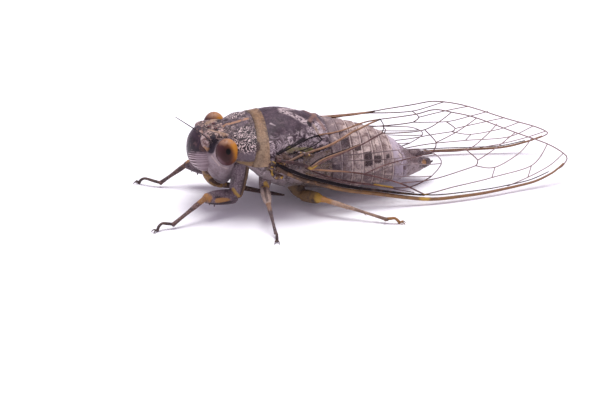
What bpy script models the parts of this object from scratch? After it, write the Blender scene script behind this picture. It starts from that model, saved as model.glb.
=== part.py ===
# A cicada at rest with its wings folded like a roof, life size.
# The head faces -Y and the left side is +X. Sizes are in millimetres, and place()
# turns them into Blender's metres.
# Lengths along the body are measured back from the line of the front claws.

import math

import bmesh
import bpy
from mathutils import Vector, geometry

MM = 0.001
GAP = 0.3
HIP_GAP = 0.4            # from the torso's curve to the hips, where the torso's faces lie closer
WELD = 0.004             # points closer than this are one point
ORIGIN_Y = 28.97         # from the front claws to the middle of the footprint

# Torso stations: distance back, half width, height of the back, height of the belly
TORSO = (
    (9.5, 4.2, 10.5, 7.2),
    (11.0, 4.9, 11.0, 6.8),
    (13.0, 6.0, 11.5, 5.7),
    (15.3, 6.5, 11.9, 3.4),
    (17.0, 6.1, 12.2, 2.3),
    (19.0, 5.75, 12.0, 1.5),
    (21.5, 5.5, 11.25, 1.2),
    (24.3, 5.35, 10.25, 0.9),
    (27.3, 4.95, 9.4, 0.8),
    (30.0, 4.6, 8.3, 0.8),
    (32.3, 4.15, 7.15, 0.85),
    (34.4, 3.4, 5.75, 1.05),
    (36.2, 2.3, 4.4, 1.3),
    (38.0, 1.2, 3.6, 1.8),
    (39.4, 0.5, 3.1, 2.3),
)
# Distance back and height of the ends of the seam between back plates and underside
SEAM = ((11.0, 7.1), (24.1, 8.2))
RING_SIDES = 24

# Ends of each back plate at its top, and how far they run back (or forward) down the sides
PRONOTUM = (10.6, 15.6)
PRONOTUM_SWEEP = (1.6, -2.1)
COLLAR = (15.9, 16.6)
COLLAR_SWEEP = (-2.1, -1.2)
MESONOTUM = (16.9, 24.1)
MESONOTUM_SWEEP = (-1.2, 0.0)
THORAX = (12.6, 24.1)
ABDOMEN = (24.4, 34.6)
SEGMENT_COUNT = 7
SEGMENT_STEP = 0.2        # how far each ring's rear edge stands over the next ring
TAIL = (34.9, 39.4)
COLLAR_LIP = 0.15

# Head stations: distance back, half width, top, bottom and how far the sides run back
HEAD = (
    (7.6, 2.9, 9.9, 6.0, 0.0),
    (8.4, 3.7, 10.4, 4.2, 0.1),
    (9.3, 4.2, 10.7, 3.1, 0.6),
    (10.25, 4.3, 10.75, 3.0, 1.3),
)
HEAD_PINCH = 0.35         # how much narrower the head gets toward the mouth
EYE_CENTRE = (4.5, 10.1, 9.1)
EYE_RADII = (1.35, 1.5, 1.85)
CLYPEUS_CENTRE = (0.0, 8.9, 8.3)
CLYPEUS_RADII = (3.15, 3.2, 3.2)
CLYPEUS_BACK = 0.5
CLYPEUS_SIDES = 20
CLYPEUS_RIDGES = 10
CLYPEUS_RIDGE_DEPTH = 0.16
OCELLUS_RADIUS = 0.32
OCELLI = ((0.0, 8.8, 10.52), (-0.75, 9.6, 10.72), (0.75, 9.6, 10.72))
ANTENNAE = {
    "left": ((3.1, 8.8, 10.3), (2.9, 7.2, 11.35), (2.7, 5.6, 12.6), (2.6, 3.85, 13.95)),
    "right": ((-3.5, 8.2, 9.2), (-4.3, 7.8, 8.6), (-5.1, 7.8, 7.6), (-5.7, 8.2, 6.4)),
}
ANTENNA_RADII = (0.32, 0.26, 0.22, 0.14)
SNOUT = ((0.0, 8.5, 5.1), (0.0, 9.5, 3.75), (0.0, 10.4, 2.75))
SNOUT_RADII = (1.3, 1.2, 0.8)
BEAK = ((0.7, 15.1, 1.25), (1.45, 18.6, 0.5))      # after its root at the snout
BEAK_RADII = (0.42, 0.34, 0.23)

# Leg joints from the body down, and the radii there
LEGS = {
    "front_left": {
        "joints": ((3.6, 12.6, 7.2), (4.1, 11.3, 2.35), (5.5, 7.05, 3.3), (7.0, 2.4, 0.55)),
        "radii": ((0.95, 0.8), (0.95, 0.7), (0.36, 0.3)),
        "foot": ((6.95, 1.6, 0.8), (7.0, 1.0, 0.9), (7.3, 0.5, 0.65), (7.45, 0.25, -0.05)),
    },
    "front_right": {
        "joints": ((-3.6, 12.6, 7.2), (-4.1, 11.1, 2.35),(-5.5, 6.6, 3.2), (-5.9, 2.9, 0.55)),
        "radii": ((0.95, 0.8), (0.95, 0.7), (0.36, 0.3)),
        "foot": ((-6.3, 2.1, 0.8), (-7.0, 1.05, 0.95), (-7.35, 0.5, 0.6), (-7.5, 0.25, -0.05)),
    },
    "middle": {
        "joints": ((3.2, 15.7, 4.9), (4.6, 15.2, 3.3), (9.4, 14.7, 3.4), (12.5, 15.0, 0.55)),
        "radii": ((0.7, 0.62), (0.6, 0.45), (0.34, 0.28)),
        "foot": ((13.0, 15.0, 0.7), (13.4, 14.95, 0.75), (13.7, 14.9, 0.45), (13.85, 14.85, -0.05)),
    },
    "hind": {
        "joints": ((2.6, 19.4, 2.6), (4.3, 20.4, 1.5), (7.6, 22.4, 2.4), (11.75, 30.1, 0.55)),
        "radii": ((0.7, 0.6), (0.6, 0.48), (0.38, 0.3)),
        "foot": ((11.9, 30.6, 0.7), (12.05, 31.1, 0.75), (12.2, 31.5, 0.45), (12.3, 31.75, -0.05)),
    },
}
FEMUR_SPINES = (0.62, 0.8)   # places along the front thighs
SPINE_LENGTH = 0.75
SPINE_RADII = (0.3, 0.2, 0.08)
FOOT_RADII = (0.26, 0.24, 0.23, 0.24, 0.27)
CLAW_LENGTH = 0.75
CLAW_RADIUS = 0.14
CLAW_SPREAD = 0.35
LIMB_SIDES = 10

# Wing stations along the body from the hinge: distance, place of the low edge across
# and up, slope of the roof in degrees, bulge of the membrane, width of the bulge
WING_ROOT = 15.6
ROOF = (
    (0.8, 7.15, 5.5, 88.0, 0.2, 2.4),
    (4.0, 7.2, 4.7, 80.0, 0.6, 5.2),
    (7.0, 6.95, 3.9, 68.0, 1.4, 7.2),
    (10.5, 6.6, 2.95, 60.5, 2.2, 8.5),
    (14.0, 6.6, 2.15, 58.5, 2.1, 9.3),
    (18.0, 7.1, 1.4, 58.5, 1.3, 10.6),
    (22.0, 7.5, 0.85, 58.8, 0.8, 11.6),
    (26.0, 7.4, 0.75, 60.0, 0.6, 11.5),
    (30.0, 7.0, 0.7, 59.2, 0.5, 10.6),
    (36.0, 6.1, 0.7, 56.3, 0.4, 9.5),
    (44.0, 5.8, 0.7, 48.0, 0.3, 8.0),
)
MEMBRANE = 0.5
VEIN_HEIGHT = 0.75
VEIN_HALF_WIDTH = 0.26
VEIN_STEP = 2.4
HINDWING_DROP = 1.1       # how far the hindwing lies under the forewing

# Wing plans: distance back from the hinge, height up the roof from the low edge
FOREWING_OUTLINE = (
    (0.5, 1.2), (1.8, 0.4), (4.5, 0.1), (10.0, -0.15), (20.0, -0.2), (30.0, -0.2), (36.0, 0.0),
    (39.2, 0.6), (41.6, 1.9), (42.9, 3.3), (42.6, 5.0), (40.0, 6.4), (36.0, 7.7), (32.5, 9.6),
    (29.0, 11.1), (25.5, 12.3), (22.5, 12.4), (19.0, 11.6), (16.0, 10.7), (12.5, 9.3), (8.0, 7.9),
    (4.4, 6.2), (1.6, 3.9), (0.5, 2.4),
)
FOREWING_VEINS = (
    ((1.2, 1.1), (4.5, 0.45), (10.0, 0.05), (20.0, -0.1), (30.0, -0.05), (36.0, 0.2), (39.0, 1.0),
     (41.0, 1.9), (41.9, 2.9), (41.5, 3.7), (39.4, 5.2), (34.9, 7.3), (29.5, 10.1), (26.0, 11.3),
     (23.6, 11.9), (20.9, 11.4), (16.2, 10.2), (11.8, 8.6), (8.0, 7.4), (4.5, 5.4)),
    ((3.0, 2.2), (8.0, 2.0), (12.6, 2.1)),
    ((12.6, 2.1), (16.8, 4.2), (22.6, 6.2)),
    ((12.6, 2.1), (17.5, 1.6), (20.9, 0.3)),
    ((17.5, 1.6), (23.3, 2.7), (28.4, 3.7)),
    ((2.2, 2.4), (6.7, 3.3), (11.0, 5.1), (13.4, 6.4), (15.9, 8.1)),
    ((15.9, 8.1), (18.5, 8.5), (21.9, 9.2), (24.3, 10.3), (26.0, 11.3)),
    ((21.9, 9.2), (23.2, 7.4), (22.6, 6.2)),
    ((2.6, 2.9), (5.3, 3.8), (8.4, 6.0), (12.6, 8.3), (16.2, 10.2)),
    ((16.2, 10.2), (16.4, 9.2), (15.9, 8.1)),
    ((20.9, 0.3), (24.6, 1.2), (30.6, 1.8), (36.6, 2.5), (39.4, 5.2)),
    ((36.6, 2.5), (35.9, 1.0)),
    ((32.8, 0.1), (35.9, 1.0), (39.2, 2.2), (41.5, 3.7)),
    ((28.4, 3.7), (31.2, 3.1), (35.0, 4.4), (37.3, 6.3)),
    ((31.2, 3.1), (30.6, 1.8)),
    ((28.8, 4.4), (31.8, 5.7), (34.9, 7.3)),
    ((27.3, 6.0), (28.8, 4.4), (28.4, 3.7)),
    ((22.6, 6.2), (27.3, 6.0), (30.4, 7.5), (32.4, 8.9)),
    ((23.2, 7.4), (26.4, 8.6), (29.5, 10.1)),
)
HINDWING_OUTLINE = (
    (4.0, 2.3), (5.2, 1.4), (9.0, 0.7), (14.0, 0.6), (19.0, 1.0), (23.0, 2.4), (24.8, 4.4),
    (24.0, 6.3), (21.6, 7.3), (18.0, 6.9), (14.0, 5.9), (10.0, 5.1), (7.0, 4.4), (4.8, 3.6),
)
HINDWING_VEINS = (
    ((4.8, 2.2), (9.0, 1.2), (14.0, 1.1), (18.8, 1.6), (22.4, 2.9), (23.9, 4.6), (23.2, 5.9),
     (21.4, 6.7), (18.0, 6.3), (14.0, 5.3), (10.2, 4.5)),
    ((6.0, 2.2), (10.0, 2.3), (14.0, 2.9), (18.0, 2.9), (22.4, 2.9)),
    ((14.0, 2.9), (18.0, 4.3), (23.9, 4.6)),
    ((6.4, 2.8), (10.0, 3.4), (14.5, 4.2), (18.6, 5.2), (23.2, 5.9)),
    ((18.0, 4.3), (18.6, 5.2), (18.0, 6.3)),
)

COLOURS = {
    "dark": ((0.045, 0.035, 0.04), 0.45),
    "olive": ((0.26, 0.18, 0.08), 0.5),
    "grey": ((0.21, 0.18, 0.17), 0.6),
    "tan": ((0.32, 0.19, 0.06), 0.5),
    "eye": ((0.30, 0.10, 0.02), 0.2),
    "stripe": ((0.16, 0.11, 0.11), 0.4),
    "brown": ((0.08, 0.05, 0.035), 0.45),
    "wing": ((0.62, 0.55, 0.46), 0.15),
}


def place(point):
    return Vector((point[0], point[1] - ORIGIN_Y, point[2])) * MM


def mirrored(point, side):
    return Vector((point[0] * side, point[1], point[2]))


def smooth_value(stations, at, column):
    """Value of one column between stations, along a smooth curve."""
    at = min(max(at, stations[0][0]), stations[-1][0])
    last = len(stations) - 2
    index = next((i for i in range(last) if at <= stations[i + 1][0]), last)

    def slope(i):
        low, high = max(i - 1, 0), min(i + 1, len(stations) - 1)
        return (stations[high][column] - stations[low][column]) / (stations[high][0] - stations[low][0])

    start, end = stations[index], stations[index + 1]
    span = end[0] - start[0]
    t = (at - start[0]) / span
    return (
        (2 * t**3 - 3 * t**2 + 1) * start[column]
        + (t**3 - 2 * t**2 + t) * span * slope(index)
        + (3 * t**2 - 2 * t**3) * end[column]
        + (t**3 - t**2) * span * slope(index + 1)
    )


def smooth_path(points, step, closed=False):
    """Points read along a smooth curve through the given ones."""
    points = [Vector(p) for p in points]
    count = len(points)
    spans = count if closed else count - 1
    path = []
    for i in range(spans):
        a, b = points[i], points[(i + 1) % count]
        before = points[i - 1] if closed or i else a
        after = points[(i + 2) % count] if closed or i + 2 < count else b
        steps = max(1, round((b - a).length / step))
        for k in range(steps):
            t = k / steps
            path.append(
                0.5 * (2 * a + (b - before) * t + (2 * before - 5 * a + 4 * b - after) * t**2
                       + (3 * a - before - 3 * b + after) * t**3)
            )
    if not closed:
        path.append(points[-1])
    return path


def material(kind):
    name = "cicada_" + kind
    if name in bpy.data.materials:
        return bpy.data.materials[name]
    colour, roughness = COLOURS[kind]
    made = bpy.data.materials.new(name)
    made.use_nodes = True
    shader = made.node_tree.nodes["Principled BSDF"]
    shader.inputs["Base Color"].default_value = (*colour, 1.0)
    shader.inputs["Roughness"].default_value = roughness
    shader.inputs["Metallic"].default_value = 0.0
    return made


def add_object(name, mesh, kind, cutter=False):
    thing = bpy.data.objects.new(name, mesh)
    (CUTTERS if cutter else PARTS).objects.link(thing)
    thing.data.materials.append(material(kind))
    if cutter:
        thing.hide_render = True
        thing.display_type = "WIRE"
    return thing


def finish_mesh(name, shape):
    """Mesh data from a bmesh in millimetres, with its faces pointing out."""
    bmesh.ops.recalc_face_normals(shape, faces=shape.faces)
    for vertex in shape.verts:
        vertex.co = place(vertex.co)
    mesh = bpy.data.meshes.new(name)
    shape.to_mesh(mesh)
    shape.free()
    mesh.shade_smooth()
    mesh.set_sharp_from_angle(angle=math.radians(40))
    return mesh


def loft(name, rings, kind, cutter=False):
    """A closed body through rings of equal point counts."""
    shape = bmesh.new()
    loops = [[shape.verts.new(p) for p in ring] for ring in rings]
    for here, there in zip(loops, loops[1:]):
        for i, vertex in enumerate(here):
            after = (i + 1) % len(here)
            shape.faces.new((vertex, here[after], there[after], there[i]))
    shape.faces.new(loops[0])
    shape.faces.new(loops[-1])
    return add_object(name, finish_mesh(name, shape), kind, cutter)


def tube(name, points, radii, kind, ends=(None, None), sides=LIMB_SIDES, flatten=1.0, cutter=False):
    """A tapered limb through points, its end faces square or along the given planes."""
    points = [Vector(p) for p in points]
    rings = []
    up = Vector((0, 0, 1))
    for i, (centre, radius) in enumerate(zip(points, radii)):
        ahead = points[min(i + 1, len(points) - 1)] - points[max(i - 1, 0)]
        ahead.normalize()
        across = ahead.cross(up).normalized()
        over = across.cross(ahead)
        end = ends[0] if i == 0 else ends[1] if i == len(points) - 1 else None
        ring = []
        for k in range(sides):
            turn = 2 * math.pi * k / sides
            spoke = across * (radius * flatten * math.cos(turn)) + over * (radius * math.sin(turn))
            if end is not None:
                spoke -= ahead * (spoke.dot(end) / ahead.dot(end))
            ring.append(centre + spoke)
        rings.append(ring)
    return loft(name, rings, kind, cutter)


def ellipsoid(name, centre, radii, kind, segments=20, rings=12, cutter=False):
    shape = bmesh.new()
    bmesh.ops.create_uvsphere(shape, u_segments=segments, v_segments=rings, radius=1.0)
    for vertex in shape.verts:
        vertex.co = Vector(c + r * v for c, r, v in zip(centre, radii, vertex.co))
    return add_object(name, finish_mesh(name, shape), kind, cutter)


def cut(body, cutter):
    modifier = body.modifiers.new("cut_" + cutter.name, "BOOLEAN")
    modifier.operation = "DIFFERENCE"
    modifier.solver = "EXACT"
    modifier.object = cutter


def fuse(body, pieces):
    """Joins pieces to a body in one union and keeps its largest closed surface."""
    extras = bpy.data.collections.new(body.name + "_extras")
    for piece in pieces:
        PARTS.objects.unlink(piece)
        extras.objects.link(piece)
    modifier = body.modifiers.new("fuse", "BOOLEAN")
    modifier.operation = "UNION"
    modifier.solver = "EXACT"
    modifier.operand_type = "COLLECTION"
    modifier.collection = extras
    bake(body)
    for piece in list(extras.objects):
        bpy.data.objects.remove(piece)
    bpy.data.collections.remove(extras)


def bake(body):
    """Applies an object's modifiers and drops loose scraps."""
    bpy.context.view_layer.update()
    depsgraph = bpy.context.evaluated_depsgraph_get()
    mesh = bpy.data.meshes.new_from_object(body.evaluated_get(depsgraph))
    body.modifiers.clear()
    body.data = mesh
    shape = bmesh.new()
    shape.from_mesh(mesh)
    bmesh.ops.dissolve_degenerate(shape, dist=WELD * MM, edges=shape.edges)
    keep_largest(shape)
    shape.to_mesh(mesh)
    shape.free()


def keep_largest(shape):
    left = set(shape.faces)
    islands = []
    while left:
        island = [left.pop()]
        for face in island:
            for edge in face.edges:
                for other in edge.link_faces:
                    if other in left:
                        left.discard(other)
                        island.append(other)
        islands.append(island)
    islands.sort(key=lambda island: sum(face.calc_area() for face in island))
    for island in islands[:-1]:
        bmesh.ops.delete(shape, geom=island, context="FACES")


def torso_point(y, turn, grow=0.0):
    """A point on the torso's skin at a turn round its section, zero at the left."""
    half_width, top, bottom = (smooth_value(TORSO, y, column) for column in (1, 2, 3))
    middle, half_height = (top + bottom) / 2, (top - bottom) / 2
    return Vector((
        (half_width + grow) * math.cos(turn),
        y,
        middle + (half_height + grow) * math.sin(turn),
    ))


def torso_ring(y, grow=0.0):
    return [torso_point(y, 2 * math.pi * k / RING_SIDES, grow) for k in range(RING_SIDES)]


def seam_turn(y, lift):
    """Turn at which the torso's skin meets the seam, a little above or below it."""
    top, bottom = smooth_value(TORSO, y, 2), smooth_value(TORSO, y, 3)
    (front, low), (rear, high) = SEAM
    height = low + (high - low) * (y - front) / (rear - front) + lift
    return math.asin((2 * height - top - bottom) / (top - bottom))


def back_ring(y, sweep=0.0, grow=0.0):
    """A ring of a back plate: an arch over the seam, swept back down its sides."""
    sides = RING_SIDES // 2 + 3
    low = seam_turn(y + sweep, GAP / 2)
    ring = []
    for k in range(sides):
        turn = low + (math.pi - 2 * low) * k / (sides - 1)
        ring.append(torso_point(y + sweep * (1 - max(math.sin(turn), 0)), turn, grow))
    return ring


def belly_ring(y):
    sides = RING_SIDES // 2 + 3
    high = seam_turn(y, -GAP / 2)
    start, span = math.pi - high, math.pi + 2 * high
    return [torso_point(y, start + span * k / (sides - 1)) for k in range(sides)]


def stations(span, count):
    return [span[0] + (span[1] - span[0]) * k / (count - 1) for k in range(count)]


def plate(name, span, sweeps, grows, kind):
    """A back plate through as many rings as there are heights above the torso."""
    count = len(grows)
    rings = zip(stations(span, count), stations(sweeps, count), grows)
    return loft(name, [back_ring(y, sweep, grow) for y, sweep, grow in rings], kind)


def make_torso():
    plate("pronotum", PRONOTUM, PRONOTUM_SWEEP, [0.0] * 6, "dark")
    plate("pronotal_collar", COLLAR, COLLAR_SWEEP, (0.0, COLLAR_LIP, COLLAR_LIP, 0.05), "olive")
    plate("mesonotum", MESONOTUM, MESONOTUM_SWEEP, [0.0] * 9, "dark")
    loft("thorax", [belly_ring(y) for y in stations(THORAX, 10)], "grey")


def make_cross():
    """The raised cross at the rear of the mesonotum."""
    arms = []
    for side in (1, -1):
        points = []
        for y, turn in ((21.9, 62), (22.9, 78), (23.5, 96), (24.0, 116)):
            turn = math.radians(turn if side > 0 else 180 - turn)
            points.append(torso_point(y, turn, 0.05))
        arms.append(tube("cross_arm", points, (0.3, 0.42, 0.42, 0.3), "dark", sides=8))
    fuse(bpy.data.objects["mesonotum"], arms)


def make_abdomen():
    rings = []
    length = (ABDOMEN[1] - ABDOMEN[0]) / SEGMENT_COUNT
    for segment in range(SEGMENT_COUNT):
        start = ABDOMEN[0] + segment * length
        rings.append(torso_ring(start, -SEGMENT_STEP / 2))
        rings.append(torso_ring(start + length * 0.35, SEGMENT_STEP * 0.2))
        rings.append(torso_ring(start + length * 0.92, SEGMENT_STEP / 2))
    loft("abdomen", rings, "grey")
    loft("abdomen_tip", [torso_ring(y) for y in stations(TAIL, 6)], "brown")


def head_ring(y, half_width, top, bottom, sweep):
    """A ring of the head: widest level with the eyes, pinched toward the mouth."""
    waist = EYE_CENTRE[2] - 1.0
    ring = []
    for k in range(RING_SIDES):
        turn = 2 * math.pi * k / RING_SIDES
        rise = math.sin(turn)
        height = top - waist if rise > 0 else waist - bottom
        pinch = 1 - HEAD_PINCH * max(0, -rise)
        ring.append(Vector((
            half_width * pinch * math.cos(turn), y + sweep * (1 - abs(rise)), waist + height * rise,
        )))
    return ring


def clypeus_rings(grow, ridged):
    """Level rings of the swollen face, with ridges across its front."""
    count = 2 * CLYPEUS_RIDGES + 3
    rings = []
    for k in range(1, count):
        tilt = math.pi * k / count - math.pi / 2
        size = math.cos(tilt)
        if ridged and k < 0.8 * count:
            size -= CLYPEUS_RIDGE_DEPTH / CLYPEUS_RADII[0] * (k % 2)
        ring = []
        for n in range(CLYPEUS_SIDES):
            turn = 2 * math.pi * n / CLYPEUS_SIDES
            depth = CLYPEUS_RADII[1] if math.sin(turn) < 0 else CLYPEUS_BACK
            ring.append(Vector((
                CLYPEUS_CENTRE[0] + (CLYPEUS_RADII[0] * size + grow) * math.cos(turn),
                CLYPEUS_CENTRE[1] + (depth * size + grow) * math.sin(turn),
                CLYPEUS_CENTRE[2] + (CLYPEUS_RADII[2] + grow) * math.sin(tilt),
            )))
        rings.append(ring)
    return rings


def make_head():
    head = loft("head", [head_ring(*station) for station in HEAD], "grey")
    ocelli = [
        ellipsoid("ocellus", centre, [OCELLUS_RADIUS] * 3, "eye", segments=8, rings=6) for centre in OCELLI
    ]
    fuse(head, ocelli)
    for name, side in (("eye_left", 1), ("eye_right", -1)):
        centre = mirrored(EYE_CENTRE, side)
        ellipsoid(name, centre, EYE_RADII, "eye")
        socket = ellipsoid(name + "_socket", centre, [r + GAP for r in EYE_RADII], "dark", cutter=True)
        cut(head, socket)
        cut(bpy.data.objects["pronotum"], socket)
    loft("postclypeus", clypeus_rings(0.0, True), "stripe")
    cut(head, loft("clypeus_socket", clypeus_rings(GAP, False), "dark", cutter=True))
    snout = tube("anteclypeus", SNOUT, SNOUT_RADII, "tan")
    cut(snout, bpy.data.objects["clypeus_socket"])
    run = (Vector(SNOUT[-1]) - Vector(SNOUT[-2])).normalized()
    root = Vector(SNOUT[-1]) + run * GAP
    room = [Vector(SNOUT[0]) - run * 2 * GAP, *SNOUT[1:-1], root]
    cut(head, tube("snout_socket", room, [r + GAP for r in SNOUT_RADII], "dark", cutter=True))
    bake(head)
    bake(snout)
    tube("rostrum", [root, *BEAK], BEAK_RADII, "brown", (run, None))
    for side, path in ANTENNAE.items():
        tube("antenna_" + side, path, ANTENNA_RADII, "brown", sides=8)


def make_leg(name, leg, side):
    """Hip, thigh, shin and foot, meeting on mitred faces at the joints."""
    joints = [mirrored(p, side) for p in leg["joints"]]
    feet = [mirrored(p, side) for p in leg["foot"]]
    runs = [(b - a).normalized() for a, b in zip(joints, joints[1:] + feet[:1])]
    mitres = [(a + b).normalized() for a, b in zip(runs, runs[1:])]
    pieces = ("coxa", "femur", "tibia")
    for i, (piece, radii) in enumerate(zip(pieces, leg["radii"])):
        run = runs[i]
        start = joints[i] if i == 0 else joints[i] + run * (GAP / 2 / run.dot(mitres[i - 1]))
        end = joints[i + 1] - run * (GAP / 2 / run.dot(mitres[i]))
        middle = (start + end) / 2
        ends = (mitres[i - 1] if i else None, mitres[i])
        belly = (radii[0] + radii[1]) / 2 * (1.12 if piece == "femur" else 1.0)
        limb = tube(
            f"{name}_{piece}", (start, middle, end), (radii[0], belly, radii[1]),
            "brown" if piece == "tibia" else "grey", ends,
        )
        if piece == "coxa":
            cut(limb, bpy.data.objects["torso_room"])
            bake(limb)
        if piece == "femur" and "front" in name:
            fuse(limb, [make_spine(start.lerp(end, share), radii[1]) for share in FEMUR_SPINES])
    make_foot(name + "_tarsus", joints[-1], feet, runs[-1], mitres[-1])


def make_spine(root, depth):
    """A spine under a thigh, its root inside."""
    tip = root - Vector((0, -0.15, depth + SPINE_LENGTH))
    return tube("spine", (root, root.lerp(tip, 0.6), tip), SPINE_RADII, "brown", sides=6)


def make_foot(name, ankle, feet, run, mitre):
    start = ankle + run * (GAP / 2 / run.dot(mitre))
    path = [start] + feet
    foot = tube(name, path, FOOT_RADII, "brown", (mitre, None), sides=8)
    ahead = (feet[-1] - feet[0]).normalized()
    ahead.z = 0
    ahead.normalize()
    across = ahead.cross(Vector((0, 0, 1)))
    claws = []
    for side in (1, -1):
        root = feet[-1] + Vector((0, 0, 0.12))
        tip = root + ahead * CLAW_LENGTH + across * (CLAW_SPREAD * side)
        tip.z = 0.03
        knuckle = (root + tip) / 2 + Vector((0, 0, 0.12))
        claws.append(tube("claw", (root, knuckle, tip), (CLAW_RADIUS, CLAW_RADIUS, 0.06), "brown", sides=6))
    fuse(foot, claws)
    flatten_sole(foot)


def flatten_sole(foot):
    """Cuts a foot off level with the ground."""
    shape = bmesh.new()
    shape.from_mesh(foot.data)
    everything = shape.verts[:] + shape.edges[:] + shape.faces[:]
    bmesh.ops.bisect_plane(
        shape, geom=everything, plane_co=(0, 0, 0), plane_no=(0, 0, -1), clear_outer=True, dist=1e-7,
    )
    rim = [edge for edge in shape.edges if edge.is_boundary]
    bmesh.ops.holes_fill(shape, edges=rim)
    bmesh.ops.dissolve_degenerate(shape, dist=WELD * MM, edges=shape.edges)
    bmesh.ops.recalc_face_normals(shape, faces=shape.faces)
    shape.to_mesh(foot.data)
    shape.free()


def make_legs():
    loft("torso_room", [torso_ring(y, HIP_GAP) for y in stations((10.0, 26.0), 12)], "dark", cutter=True)
    for name in ("front_left", "front_right"):
        make_leg("leg_" + name, LEGS[name], 1)
    for pair in ("middle", "hind"):
        for name, side in (("left", 1), ("right", -1)):
            make_leg(f"leg_{pair}_{name}", LEGS[pair], side)


def wing_point(back, up, drop, side):
    """A point of the folded wing from its place on the flat plan."""
    across, height, slope, bulge, width = (smooth_value(ROOF, back, column) for column in range(1, 6))
    slope = math.radians(slope)
    share = up / width
    lean = 4 * bulge / width * (1 - 2 * share)
    under = drop / math.hypot(1, lean)
    out = 4 * bulge * share * (1 - share) - under
    up += under * lean
    return Vector((
        side * (across - up * math.cos(slope) + out * math.sin(slope)),
        WING_ROOT + back,
        height + up * math.sin(slope) + out * math.cos(slope),
    ))


def vein_lines(veins):
    """Each vein's smooth centre line, with a line along either side of it."""
    lines = []
    for vein in veins:
        centre = smooth_path(vein, VEIN_STEP)
        sides = ([], [])
        for i, point in enumerate(centre):
            ahead = (centre[min(i + 1, len(centre) - 1)] - centre[max(i - 1, 0)]).normalized()
            normal = Vector((-ahead.y, ahead.x)) * VEIN_HALF_WIDTH
            sides[0].append(point + normal)
            sides[1].append(point - normal)
        lines.append((centre, *sides))
    return lines


def distance_to_line(point, line):
    best = math.inf
    for a, b in zip(line, line[1:]):
        near, share = geometry.intersect_point_line(point, a, b)
        near = a if share < 0 else b if share > 1 else near.to_2d()
        best = min(best, (point - near).length)
    return best


def make_wing(name, outline, veins, drop, side):
    """A membrane in one sheet whose veins are ridges in its own surface."""
    rim = smooth_path(outline, VEIN_STEP, closed=True)
    lines = vein_lines(veins)
    points = list(rim)
    edges = [(i, (i + 1) % len(rim)) for i in range(len(rim))]
    for centre, left, right in lines:
        for line in (centre, left, right):
            first = len(points)
            points.extend(line)
            edges.extend((first + i, first + i + 1) for i in range(len(line) - 1))
    found = geometry.delaunay_2d_cdt(points, edges, [list(range(len(rim)))], 1, 0.02)
    shape = bmesh.new()
    vertices = [shape.verts.new(wing_point(p.x, p.y, drop, side)) for p in found[0]]
    for face in found[2]:
        shape.faces.new([vertices[i] for i in (face if side > 0 else reversed(face))])
    bmesh.ops.triangulate(shape, faces=shape.faces)
    mesh = finish_mesh(name, shape)
    wing = add_object(name, mesh, "wing")
    ridge = wing.vertex_groups.new(name="veins")
    for i, point in enumerate(found[0]):
        near = min(distance_to_line(point, line[0]) for line in lines)
        ridge.add([i], max(0.0, 1 - near / VEIN_HALF_WIDTH), "REPLACE")
    modifier = wing.modifiers.new("thickness", "SOLIDIFY")
    modifier.thickness = VEIN_HEIGHT * MM
    modifier.offset = 0.0
    modifier.vertex_group = ridge.name
    modifier.thickness_vertex_group = MEMBRANE / VEIN_HEIGHT
    return wing


def make_wings():
    for name, side in (("left", 1), ("right", -1)):
        make_wing("forewing_" + name, FOREWING_OUTLINE, FOREWING_VEINS, 0.0, side)
        make_wing("hindwing_" + name, HINDWING_OUTLINE, HINDWING_VEINS, HINDWING_DROP, side)


for leftover in list(bpy.data.objects):
    bpy.data.objects.remove(leftover)
PARTS = bpy.data.collections.new("cicada")
CUTTERS = bpy.data.collections.new("cutters")
bpy.context.scene.collection.children.link(PARTS)
bpy.context.scene.collection.children.link(CUTTERS)

make_torso()
make_cross()
make_abdomen()
make_head()
make_legs()
make_wings()
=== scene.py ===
import math

import bpy
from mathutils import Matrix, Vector


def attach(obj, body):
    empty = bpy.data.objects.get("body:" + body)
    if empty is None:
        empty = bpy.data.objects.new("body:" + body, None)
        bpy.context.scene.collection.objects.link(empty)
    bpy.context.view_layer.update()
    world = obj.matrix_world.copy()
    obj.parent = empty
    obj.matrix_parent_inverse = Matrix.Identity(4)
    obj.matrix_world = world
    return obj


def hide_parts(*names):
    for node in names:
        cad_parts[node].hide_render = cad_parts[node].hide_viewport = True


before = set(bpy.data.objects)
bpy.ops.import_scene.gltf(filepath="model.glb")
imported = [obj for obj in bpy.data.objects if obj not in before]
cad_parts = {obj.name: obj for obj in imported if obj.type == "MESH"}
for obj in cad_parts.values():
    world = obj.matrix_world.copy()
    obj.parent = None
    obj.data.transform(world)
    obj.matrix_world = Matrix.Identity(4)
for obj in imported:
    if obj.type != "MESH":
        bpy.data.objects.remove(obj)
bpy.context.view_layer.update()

# All sizes are in mm: across to the insect's left (x), back from the line of its front
# claws (y), and up (z). place() turns them into the scene's metres.
mm = 0.001
footprintMiddle = 28.97
# in metres and degrees: points nearer than this become one, edges sharper than this stay sharp
weldDistance = 2e-6
creaseAngle = 50


def place(point):
    return Vector((point[0], point[1] - footprintMiddle, point[2])) * mm


def mirrored(point, side):
    return (point[0] * side, point[1], point[2])


def clearSelection():
    if bpy.context.object and bpy.context.object.mode != "OBJECT":
        bpy.ops.object.mode_set(mode="OBJECT")
    bpy.ops.object.select_all(action="DESELECT")


def makeActive(thing):
    clearSelection()
    thing.select_set(True)
    bpy.context.view_layer.objects.active = thing


def applyModifiers(thing):
    makeActive(thing)
    for modifier in list(thing.modifiers):
        bpy.ops.object.modifier_apply(modifier=modifier.name)


def subdivide(thing, levels=1):
    modifier = thing.modifiers.new("smooth", "SUBSURF")
    modifier.levels = modifier.render_levels = levels
    applyModifiers(thing)


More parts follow.
